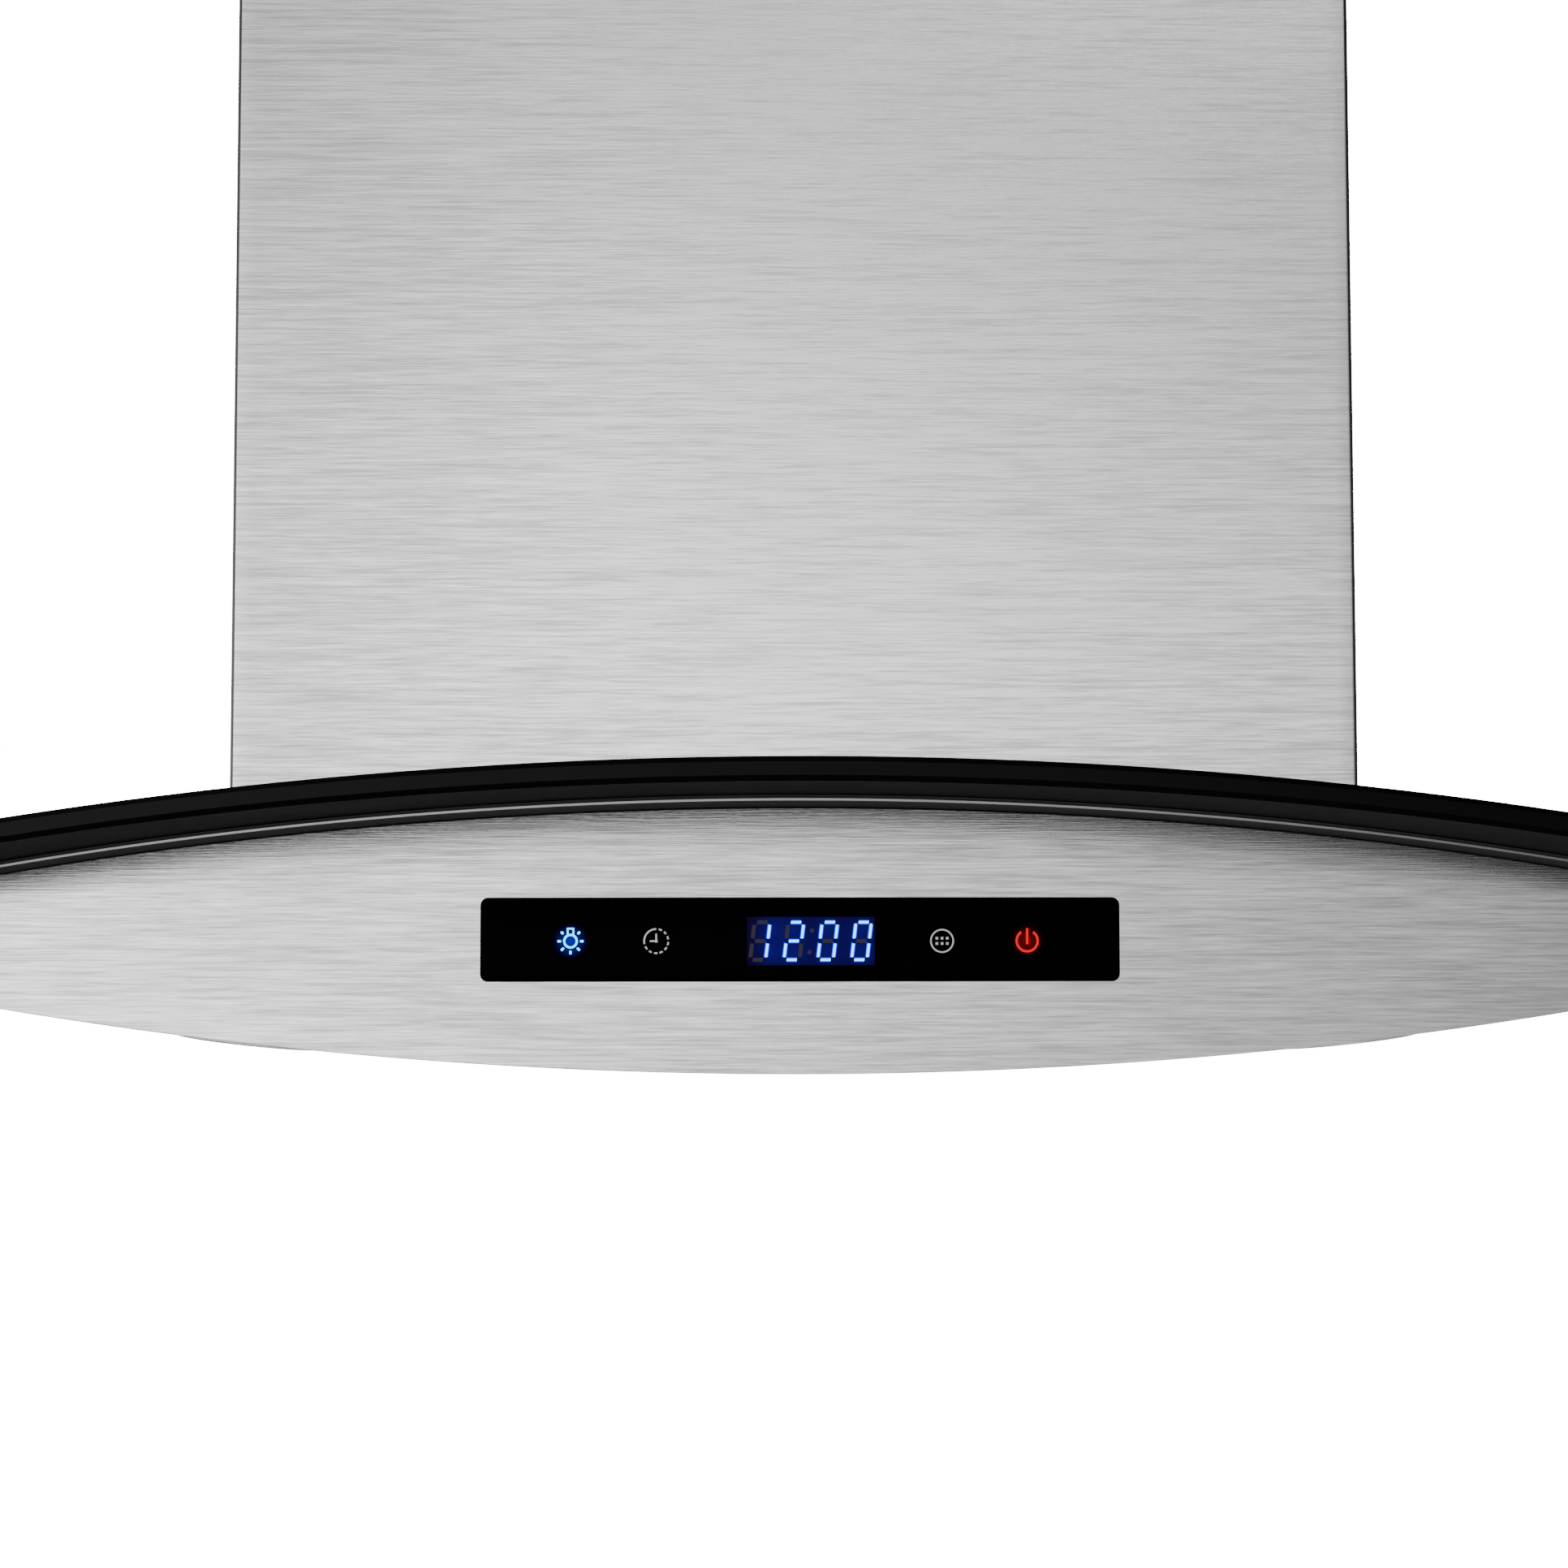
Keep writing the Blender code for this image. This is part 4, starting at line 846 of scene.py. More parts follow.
SEAL_RUBBER = MatteBlack("seal_rubber", (0.0006, 0.0006, 0.0006), roughness=0.9, specular=0.0, speckle=1500.0)
SEAL_STRIP = BrushedSteel("bright_seal_strip", (0.42, 0.42, 0.42), roughness=0.3, contrast=0.3, depth=0.03)
MOULDED_BLACK = MatteBlack("moulded_black_plastic", (0.016, 0.016, 0.018), roughness=0.52)
MOTOR_ENAMEL = MatteBlack("motor_enamel", (0.045, 0.047, 0.050), roughness=0.36, speckle=420.0,
                          height=0.00006)
ZINC_SHEET = ZincPlate("zinc_coated_sheet")
ZINC_BRIGHT = ZincPlate("bright_zinc_plating", colour=(0.60, 0.60, 0.62), roughness=0.26, crystal=900.0,
                        dust=0.05)
BOARD = CircuitBoard("circuit_board")
LENS = Diffuser("frosted_lamp_lens")
LAMP_LIGHT = LitInk("lit_lamp_mark", (0.0, 0.50, 1.0), 5.0)
WHITE_BLUE = LitInk("lit_white_blue", (0.02, 0.40, 1.0), 7.0)
DEEP_BLUE = LitInk("lit_deep_blue", (0.0, 0.004, 1.0), 2.2)
RED_LIGHT = LitInk("lit_red", (1.0, 0.0, 0.0), 1.15)
GREY_INK = LitInk("grey_ink", (0.70, 0.70, 0.70), 0.75)
FAINT_SEGMENT = LitInk("faint_segment", (0.0300, 0.0235, 0.0480), 0.9)


# ---------------------------------------------------------------- flue covers
@dataclass
class FlueCovers:
    """Two pairs of bent sheets: the upper pair hangs from the ceiling, the lower pair stands on the glass."""

    width: float = 0.340
    depth: float = 0.280
    wall: float = 0.001
    bend: float = 0.0018
    slide_gap: float = 0.001
    top_drop: float = 0.430
    upper_length: float = 0.550
    vent_rows: int = 6
    vent_pitch: float = 0.011
    vent_drop: float = 0.050
    seam: float = 0.00015

    def half(self, name: str, half_x: float, half_y: float, low: Callable[[float], float],
             high: float) -> Piece:
        """The front half of a cover: a wall with two wings that reach back to the middle.

        Args:
            name: The piece's name.
            half_x: Half the cover's width.
            half_y: Half its depth.
            low: Height of the lower edge at x.
            high: Height of the upper edge.

        Returns:
            The bent sheet with its wall.
        """
        cover = Piece.sheet(name, 2 * half_x, 1.0, 56, 1)
        cover.reshape(lambda p: (p.x, -half_y, high if p.y > 0 else -2.0))
        cover.extrude(lambda e: e.is_boundary and abs(e.verts[0].co.x - e.verts[1].co.x) < 1e-6
                      and abs(e.verts[0].co.x) > half_x - 1e-5, (0, half_y - self.seam, 0), Picks.EDGES)
        cover.round(lambda e: not e.is_boundary
                    and all(abs(v.co.y + half_y) < 1e-6 and abs(v.co.x) > half_x - 1e-5 for v in e.verts),
                    self.bend, 6)
        cover.reshape(lambda p: (p.x, p.y, low(p.x) if p.z < -1.5 else p.z))
        return cover.weld().thicken(self.wall, (0, 1, 0))

    def foot(self, x: float) -> float:
        """Height of the lower cover's foot at x, just above the glass."""
        return SHAPE.glass_over(min(abs(x), self.width / 2)) + SHAPE.gap

    def vent_tool(self, x: float, z: float) -> Piece:
        """A round-ended slot through one wing."""
        tool = Piece.block("vent_tool", (x - 0.01, -self.depth / 4 - 0.040, z - 0.004),
                           (x + 0.01, -self.depth / 4 + 0.040, z))
        return tool.round(lambda e: abs(e.verts[0].co.x - e.verts[1].co.x) > 0.01, 0.0019, 4)

    def build(self) -> None:
        """Makes and dresses the four sheets."""
        half_turn = Matrix.Rotation(math.pi, 4, "Z")
        lower = self.half("cover_lower_front", self.width / 2, self.depth / 2, self.foot, -self.top_drop)
        lower.shade(30)
        lower.twin("cover_lower_rear", half_turn).dress(COVER_STEEL, "lower_cover", "brushed_steel",
                                                        "lower_flue_cover_rear")
        lower.dress(COVER_STEEL, "lower_cover", "brushed_steel", "lower_flue_cover_front")
        step = self.wall + self.slide_gap
        upper = self.half("cover_upper_front", self.width / 2 - step, self.depth / 2 - step,
                          lambda x: -self.upper_length, -SHAPE.gap)
        for row in range(self.vent_rows):
            for side in (-1, 1):
                upper.cut(self.vent_tool(side * self.width / 2, -self.vent_drop - row * self.vent_pitch))
        upper.shade(30)
        upper.twin("cover_upper_rear", half_turn).dress(UPPER_STEEL, "ceiling", "brushed_steel",
                                                        "upper_flue_cover_rear")
        upper.dress(UPPER_STEEL, "ceiling", "brushed_steel", "upper_flue_cover_front")


# ---------------------------------------------------------------- glass canopy
@dataclass
class Canopy:
    """The arched sheet of black glass, with its ground edge and the hole for the frame."""

    corner: float = 0.012
    upper_chamfer: float = 0.00135
    hole_width: float = 0.302
    hole_depth: float = 0.242
    hole_corner: float = 0.006

    def build(self) -> None:
        """Cuts the sheet flat, bends it, gives it its thickness and grinds its edge."""
        half = SHAPE.glass_width / 2
        glass = Piece.sheet("canopy_sheet", SHAPE.glass_width, 1.0)
        glass.reshape(lambda p: (p.x, math.copysign(SHAPE.bow(half), p.y), 0))
        glass.round(lambda v: True, self.corner, 8, Picks.CORNERS)
        count = 90
        glass.slice([-half + SHAPE.glass_width * (i + 0.5) / count for i in range(count)])

        def bent(p: Vector) -> tuple[float, float, float]:
            """Bows the long edges and arches the sheet."""
            bow = SHAPE.bow(p.x) / SHAPE.bow(half)
            return p.x, p.y * bow, SHAPE.glass_under(p.x)

        glass.reshape(bent).weld()
        glass.thicken(SHAPE.glass, (0, 0, 1))
        glass.soften(self.upper_chamfer, 1, 55)
        hole = Piece.block("hole_tool", (-self.hole_width / 2, -self.hole_depth / 2, SHAPE.crown_z - 0.1),
                           (self.hole_width / 2, self.hole_depth / 2, SHAPE.crown_z + 0.1))
        hole.round(lambda e: abs(e.verts[0].co.z - e.verts[1].co.z) > 0.1, self.hole_corner, 5)
        glass.cut(hole)
        glass.shade(22)
        glass.dress(TOP_GLASS, "hood", "black_glass", "canopy_glass")
        glass.second_finish(UNDER_GLASS, lambda f: f.normal.z < -0.85)
        glass.second_finish(GROUND_EDGE, lambda f: abs(f.normal.z) < 0.45)
        glass.second_finish(LOWER_BEVEL, lambda f: 0.45 <= abs(f.normal.z) < 0.85)


# ---------------------------------------------------------------- steel body
@dataclass
class Body:
    """The lens-shaped steel body under the glass."""

    half: float = 0.0
    lip: float = 0.014
    fold: float = 0.0003
    well_inner: float = 0.018
    well_side: float = 0.020
    well_depth: float = 0.360
    rim: float = 0.011
    lamp_x: float = 0.150
    lamp_radius: float = 0.017
    tongue: float = 0.024

    def __post_init__(self) -> None:
        """Takes the body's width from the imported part."""
        self.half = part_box("fascia_front")[1].x

    def fascia(self, name: str) -> Piece:
        """The front skin: a bowed lens with a folded lip all round."""
        skin = Piece.sheet(name, 2 * self.half, 1.0, 110, 4)

        def lens(p: Vector) -> tuple[float, float, float]:
            """Lays the flat sheet on the lens."""
            x = max(-self.half, min(self.half, p.x))
            share = p.y + 0.5
            height = SHAPE.belly(x) + share * (SHAPE.body_top(x) - SHAPE.belly(x))
            return x, -SHAPE.bow(x, SHAPE.overhang), height

        skin.reshape(lens)
        skin.extrude(is_rim, (0, self.lip, 0), Picks.EDGES)

        def front(corner: bmesh.types.BMVert) -> bool:
            """Whether a corner is on the front face, and not on the folded lip."""
            return abs(corner.co.y + SHAPE.bow(corner.co.x, SHAPE.overhang)) < 1e-6

        skin.round(lambda e: not e.is_boundary and all(front(v) for v in e.verts)
                   and any(f.normal.y > -0.5 for f in e.link_faces), self.fold, 4)
        return skin.weld().thicken(SHAPE.sheet, (0, 1, 0))

    def seal(self, name: str) -> Piece:
        """The rubber seal between the front skin and the glass."""
        half = self.half - 0.002
        strip = Piece.sheet(name, 2 * half, 1.0, 90, 1)

        def laid(p: Vector) -> tuple[float, float, float]:
            """Lays the strip on the body's top arc."""
            setback = SHAPE.overhang + (0.0015 if p.y < 0 else 0.0115)
            return p.x, -SHAPE.bow(p.x, setback), SHAPE.body_top(p.x) + SHAPE.gap

        strip.reshape(laid).weld()
        strip.extrude(lambda f: True, (0, 0, SHAPE.seal - 2 * SHAPE.gap))
        return strip.weld()

    def seal_strip(self, name: str) -> Piece:
        """The bright edge of the sheet that carries the seal, a thin line in front of it."""
        half = self.half - 0.003
        strip = Piece.sheet(name, 2 * half, 1.0, 90, 1)
        strip.reshape(lambda p: (p.x, -SHAPE.bow(p.x, SHAPE.overhang + (0.0008 if p.y < 0 else 0.0030)),
                                 SHAPE.body_top(p.x) + 0.00190))
        strip.weld().extrude(lambda f: True, (0, 0, 0.00060))
        return strip.weld()

    def pan(self) -> Piece:
        """The belly, with two filter wells and four lamp holes."""
        half = self.half - SHAPE.sheet - SHAPE.gap
        setback = SHAPE.overhang + self.lip + SHAPE.gap
        pan = Piece.sheet("belly_skin", 2 * half, 1.0, 110, 2)
        pan.reshape(lambda p: (p.x, 2 * p.y * SHAPE.bow(p.x, setback), SHAPE.belly(p.x)))
        outer = self.half - self.well_side
        pan.thicken(SHAPE.sheet, (0, 0, 1))
        depth = self.well_depth / 2
        for side in (-1, 1):
            low, high = sorted((side * self.well_inner, side * outer))
            pan.cut(Piece.block("well_tool", (low, -depth, -1.0), (high, depth, -0.8))
                    .round(lambda e: abs(e.verts[0].co.z - e.verts[1].co.z) > 0.1, 0.0015, 3))
        for sx, sy in CORNERS.values():
            pan.cut(Lamps.hole(sx, sy, self))
        return pan

    def well(self, name: str, side: int) -> Piece:
        """The folded rim of one filter well, with the notch that takes the latch."""
        outer = self.half - self.well_side
        low, high = sorted((side * (self.well_inner - SHAPE.sheet), side * (outer + SHAPE.sheet)))
        depth = self.well_depth / 2 + SHAPE.sheet
        rim = Piece.sheet(name, 1.0, 1.0, 30, 1)
        rim.reshape(lambda p: (low + (p.x + 0.5) * (high - low), 2 * p.y * depth, 0))
        rim.reshape(lambda p: (p.x, p.y, SHAPE.belly(p.x) + SHAPE.sheet))
        rim.extrude(lambda f: True, (0, 0, self.rim - SHAPE.sheet))
        rim.weld()
        inner = Piece.block("rim_tool", (low + SHAPE.sheet, -depth + SHAPE.sheet, -1.0),
                            (high - SHAPE.sheet, depth - SHAPE.sheet, -0.8))
        notch_x = side * (self.well_inner - SHAPE.sheet / 2)
        notch = Piece.block("notch_tool", (notch_x - 0.002, -self.tongue / 2 - 0.001, -1.0),
                            (notch_x + 0.002, self.tongue / 2 + 0.001, SHAPE.belly(notch_x) + 0.0046))
        return rim.cut(inner, notch)

    def end_cap(self, name: str, side: int) -> Piece:
        """The narrow strip that closes one end of the body."""
        low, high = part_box("end_cap_left" if side < 0 else "end_cap_right")
        return Piece.block(name, low, high).soften(0.0004, 3)

    def build(self) -> None:
        """Makes and dresses the skins, seals, belly, wells and end caps."""
        half_turn = Matrix.Rotation(math.pi, 4, "Z")
        front = self.fascia("fascia_skin_front")
        rear = front.twin("fascia_skin_rear", half_turn)
        front.cut(ControlPanel.window_tool())
        front.shade(28).dress(BODY_STEEL, "hood", "brushed_steel", "fascia_front")
        rear.shade(28).dress(BODY_STEEL, "hood", "brushed_steel", "fascia_rear")
        seal, strip = self.seal("seal_strip_front"), self.seal_strip("seal_carrier_front")
        seal.twin("seal_strip_rear", half_turn).shade().dress(SEAL_RUBBER, "hood", "seal_rubber", "seal_rear")
        seal.shade().dress(SEAL_RUBBER, "hood", "seal_rubber", "seal_front")
        strip.twin("seal_carrier_rear", half_turn).shade().dress(SEAL_STRIP, "hood", "brushed_steel")
        strip.shade().dress(SEAL_STRIP, "hood", "brushed_steel")
        pan = self.pan()
        pan.shade(28).dress(BELLY_STEEL, "hood", "brushed_steel", "belly_pan")
        for side, end in ((-1, "left"), (1, "right")):
            self.well("filter_well_" + end, side).shade(28).dress(BELLY_STEEL, "hood", "brushed_steel")
            self.end_cap("body_end_" + end, side).shade(28).dress(BODY_STEEL, "hood", "brushed_steel",
                                                                  "end_cap_" + end)


# ---------------------------------------------------------------- touch strip
@dataclass
class Stroke:
    """Flat marks drawn about their own middle, x to the right and y up, before they are laid on the glass."""

    clip: float = 0.24

    def ring(self, name: str, outer: float, width: float, keep: Callable[[float], bool] | None = None,
             centre: tuple[float, float] = (0, 0), sides: int = 96) -> Piece:
        """A ring, or the parts of it whose angle in degrees passes a test."""
        ring = Piece.disc(name, outer, sides, (*centre, 0))
        ring.inset(lambda f: True, width)
        ring.drop(lambda f: len(f.verts) > 4)
        if keep:
            def angle(face: bmesh.types.BMFace) -> float:
                """Angle of a face about the ring's middle."""
                at = middle_of(face)
                return math.degrees(math.atan2(at.y - centre[1], at.x - centre[0])) % 360

            ring.drop(lambda f: not keep(angle(f)))
        return ring

    def bar(self, name: str, start: tuple[float, float], end: tuple[float, float], width: float) -> Piece:
        """A straight stroke between two points, with clipped ends."""
        run = Vector(end) - Vector(start)
        bar = Piece.sheet(name, run.length, width)
        bar.round(lambda v: True, width * self.clip, 2, Picks.CORNERS)
        middle = (Vector(start) + Vector(end)) / 2
        return bar.place(Matrix.Translation((*middle, 0)) @ Matrix.Rotation(math.atan2(run.y, run.x), 4, "Z"))

    def segment(self, name: str, length: float, width: float) -> Piece:
        """A display segment with mitred ends."""
        piece = Piece.disc(name, 1.0, 6)

        def mitred(p: Vector) -> tuple[float, float, float]:
            """Puts the two outer corners on the ends and the other four on the sides."""
            tip = abs(p.x) > 0.9
            across = length / 2 if tip or abs(p.x) <= 0.1 else (length - width) / 2
            return math.copysign(across, p.x), 0.0 if tip else math.copysign(width / 2, p.y), 0

        return piece.reshape(mitred)


@dataclass
class ControlPanel:
    """The touch glass in the front skin, with its lit marks and clock."""

    width: float = 0.1653
    height: float = 0.0212
    corner: float = 0.0017
    thick: float = 0.003
    window_width: float = 0.0330
    window_height: float = 0.0125
    window_x: float = 0.0027
    marks_z: float = -0.0004

    @staticmethod
    def centre_z() -> float:
        """Height of the strip's middle."""
        low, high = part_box("control_glass")
        return (low.z + high.z) / 2

    @classmethod
    def rounded(cls, name: str, spare: float, near: float, far: float) -> Piece:
        """A round-cornered block through the front skin, larger than the strip by a spare."""
        z = cls.centre_z()
        block = Piece.block(name, (-cls.width / 2 - spare, near, z - cls.height / 2 - spare),
                            (cls.width / 2 + spare, far, z + cls.height / 2 + spare))
        return block.round(lambda e: abs(e.verts[0].co.y - e.verts[1].co.y) > abs(far - near) * 0.9,
                           cls.corner + spare, 6)

    @classmethod
    def window_tool(cls) -> Piece:
        """The tool that opens the front skin for the glass."""
        return cls.rounded("window_tool", SHAPE.gap, -0.30, -0.20)

    def glass(self) -> Piece:
        """The touch glass, bowed as the skin is, with a fine polished arris."""
        glass = self.rounded("touch_glass", 0.0, -0.26, -0.24)
        glass.slice([self.width * (i / 24 - 0.5) for i in range(1, 24)])
        face = SHAPE.overhang - SHAPE.gap

        def bowed(p: Vector) -> tuple[float, float, float]:
            """Puts the front and back on their bows."""
            return p.x, -SHAPE.bow(p.x, face + (0 if p.y < -0.25 else self.thick)), p.z

        glass.reshape(bowed).weld()
        return glass.soften(0.0002, 2, 50)

    def laid(self, piece: Piece, x: float, z: float, lift: float) -> Piece:
        """Lays a flat drawing on the glass at x and z, and gives it its thickness."""
        centre = self.centre_z() + self.marks_z
        piece.weld()
        piece.reshape(lambda p: (p.x + x, -SHAPE.bow(p.x + x, SHAPE.overhang - SHAPE.gap) - lift,
                                 p.y + z + centre))
        piece.extrude(lambda f: True, (0, 0.00003, 0))
        return piece.weld()

    def light_mark(self, draw: Stroke) -> list[Piece]:
        """A lamp: a ring with seven rays and a socket above."""
        parts = [draw.ring("mark_light", 0.00190, 0.00055)]
        for degrees in (0, 180, 270, 45, 135, 225, 315):
            if degrees in (45, 135):
                reach = (0.00262, 0.00345)
            else:
                reach = (0.00245, 0.00340)
            turn = Vector((math.cos(math.radians(degrees)), math.sin(math.radians(degrees))))
            parts.append(draw.bar("ray", tuple(turn * reach[0]), tuple(turn * reach[1]), 0.00060))
        for start, end in (((-0.00075, 0.00175), (-0.00075, 0.00345)),
                           ((0.00075, 0.00175), (0.00075, 0.00345)),
                           ((-0.00095, 0.00325), (0.00095, 0.00325))):
            parts.append(draw.bar("socket", start, end, 0.00045))
        return parts

    def timer_mark(self, draw: Stroke) -> list[Piece]:
        """A clock: a solid quarter, ten dashes and two hands."""
        def kept(angle: float) -> bool:
            """Solid from the top round to the left, dashed in the rest."""
            if 95 <= angle <= 190:
                return True
            return ((angle + 262) % 360) % 27.0 < 15.5

        return [draw.ring("mark_timer", 0.00335, 0.00045, kept, sides=180),
                draw.bar("hand", (0, 0), (0, 0.00195), 0.00045), draw.bar("hand", (0, 0), (-0.00165, 0),
                                                                          0.00045),
                draw.ring("hub", 0.0004, 0.00039, sides=16)]

    def program_mark(self, draw: Stroke) -> list[Piece]:
        """A ring with three by two dots."""
        dots = [Piece.sheet("dot", 0.00067, 0.00067).place(Matrix.Translation((x * 0.00135, y * 0.00068, 0)))
                for x in (-1, 0, 1) for y in (-1, 1)]
        return [draw.ring("mark_program", 0.00310, 0.00040), *dots]

    def power_mark(self, draw: Stroke) -> list[Piece]:
        """A ring open at the top, with an upright bar."""
        return [draw.ring("mark_power", 0.00305, 0.00065, lambda a: not 58 < a < 122),
                draw.bar("stem", (0, -0.0009), (0, 0.0033), 0.00065)]

    def digit(self, draw: Stroke, shown: str, width: float) -> list[Piece]:
        """The segments of one digit, of which a to g name those shown."""
        w, h = 0.0040, 0.0097
        places = {"a": (0, h / 2, 0), "g": (0, 0, 0), "d": (0, -h / 2, 0), "f": (-w / 2, h / 4, 90),
                  "b": (w / 2, h / 4, 90),
                  "e": (-w / 2, -h / 4, 90), "c": (w / 2, -h / 4, 90)}
        parts = []
        for letter in shown:
            x, y, turn = places[letter]
            length = (w if turn == 0 else h / 2) - 0.00035
            piece = draw.segment("segment", length - (0.00105 - width), width)
            parts.append(piece.place(Matrix.Translation((x, y, 0)) @ Matrix.Rotation(math.radians(turn), 4,
                                                                                     "Z")))
        return parts

    def clock(self, draw: Stroke) -> None:
        """The window, its faint and lit segments and the colon."""
        slant = math.tan(math.radians(6.8))
        pitch = 0.00875
        lit = {0: "bc", 1: "abged", 2: "abcdef", 3: "abcdef"}
        groups: dict[str, list[Piece]] = {"faint": [], "lit": [], "core": []}
        for place, shown in lit.items():
            x = (place - 1.5) * pitch
            for group, letters, width in (("faint", "".join(c for c in "abcdefg" if c not in shown), 0.00100),
                                          ("lit", shown, 0.00112), ("core", shown, 0.00060)):
                for piece in self.digit(draw, letters, width):
                    piece.reshape(lambda p, x=x: (p.x + p.y * slant + x, p.y, 0))
                    groups[group].append(piece)
        for y in (-0.0029, 0.0027):
            dot = Piece.disc("dot", 0.00055, 20, (y * slant, y, 0))
            groups["faint"].append(dot)
        looks = {"faint": (FAINT_SEGMENT, 0.00008), "lit": (DEEP_BLUE, 0.00010),
                 "core": (WHITE_BLUE, 0.00014)}
        for group, pieces in groups.items():
            finish, lift = looks[group]
            first, *rest = pieces
            first.join(*rest)
            first.item.name = first.item.data.name = "clock_" + group
            self.laid(first, self.window_x, 0.0, lift).dress(finish, "hood", "display")

    def window(self) -> Piece:
        """The display's window, a thin dark blue film."""
        film = Piece.sheet("clock_window", self.window_width, self.window_height, 8, 1)
        return self.laid(film, self.window_x, 0.0, 0.00005)

    def spots(self) -> tuple[tuple[Sequence[float], float, Colour], ...]:
        """Where light spills on the glass round the lit marks."""
        z = self.centre_z() + self.marks_z

        def at(x: float) -> tuple[float, float, float]:
            """The point of the glass at x, at the height of the marks."""
            return x, -SHAPE.bow(x, SHAPE.overhang - SHAPE.gap), z

        return ((at(-0.0595), 0.0050, (0.0, 0.0, 0.60)), (at(0.0588), 0.0048, (0.22, 0.0, 0.006)))

    def build(self) -> None:
        """Makes and dresses the strip and all that shows on it."""
        draw = Stroke()
        touch = GlowingGlass("black_touch_glass", self.spots())
        self.glass().shade(30).dress(touch, "hood", "touch_glass", "control_glass")
        z = self.centre_z() + self.marks_z
        digits = tuple(((self.window_x + (i - 1.5) * 0.0087 + dx,
                         -SHAPE.bow(self.window_x, SHAPE.overhang - SHAPE.gap), z + dz),
                        0.0085, (0.0100, 0.0, 0.17)) for i, dx in ((0, 0.003), (1, 0), (2, 0),
                                                                   (3, 0)) for dz in (-0.003, 0.003))
        film = GlowingGlass("display_film", digits, base=(0.0048, 0.0010, 0.022))
        self.window().dress(film, "hood", "display")
        for parts, x, finish in ((self.light_mark(draw), -0.0595, LAMP_LIGHT),
                                 (self.timer_mark(draw), -0.0373, GREY_INK),
                                 (self.program_mark(draw), 0.0367, GREY_INK), (self.power_mark(draw),
                                                                               0.0588, RED_LIGHT)):
            first, *rest = parts
            first.join(*rest)
            self.laid(first, x, 0.0, 0.00010).dress(finish, "hood", "touch_glass")
        self.clock(draw)


# ---------------------------------------------------------------- lamps
@dataclass
class Lamps:
    """Four round lamps in the belly, square to its curve."""

    bezel: float = 0.020
    lip: float = 0.0012

    @staticmethod
    def seat(sx: int, sy: int, body: Body) -> Matrix:
        """Where a lamp sits, as a matrix from its own frame."""
        x = sx * body.lamp_x
        y = (body.well_depth / 2 + SHAPE.sheet + SHAPE.bow(body.lamp_x, SHAPE.overhang + body.lip)) / 2
        return Matrix.Translation((x, sy * y,
                                   SHAPE.belly(x))) @ Matrix.Rotation(-math.asin(x / SHAPE.body_arc), 4, "Y")

    @classmethod
    def hole(cls, sx: int, sy: int, body: Body) -> Piece:
        """The tool that opens the belly for a lamp."""
        tool = Piece.bar("lamp_tool", body.lamp_radius + SHAPE.gap, 0.03, 40)
        return tool.place(cls.seat(sx, sy, body) @ Matrix.Translation((0, 0, -0.015)))

    def build(self, body: Body) -> None:
        """Makes one bezel and one lens, and copies them to the four corners."""
        bezel = Piece.bar("bezel", self.bezel, self.lip, 56)
        bezel.place(Matrix.Translation((0, 0, -0.0005 - self.lip)))
        bezel.round(lambda e: all(v.co.z < -0.0012 for v in e.verts), 0.0007, 4)

        def low(face: bmesh.types.BMFace) -> bool:
            """Whether a face is the bezel's lower one."""
            return face.normal.z < -0.9 and face.calc_area() > 1e-4

        bezel.inset(low, 0.0022)
        bezel.extrude(low, (0, 0, 0.0018))
        can = Piece.bar("can", body.lamp_radius, 0.0125, 56)
        can.place(Matrix.Translation((0, 0, -0.0005)))
        bezel.join(can.soften(0.0005, 2))
        lens = Piece.bar("lens", body.lamp_radius - 0.0023, 0.0014, 48)
        lens.place(Matrix.Translation((0, 0, -0.0013)))
        for name, (sx, sy) in CORNERS.items():
            seat = self.seat(sx, sy, body)
            bezel.twin("lamp_bezel_" + name, seat).shade().dress(BEZEL_METAL, "hood", "lamp_bezel",
                                                                 "lamp_housing_" + name)
            lens.twin("lamp_diffuser_" + name, seat).shade().dress(LENS, "hood", "lamp_lens",
                                                                   "lamp_lens_" + name)
        for spare in (bezel, lens):
            bpy.data.objects.remove(spare.item, do_unlink=True)


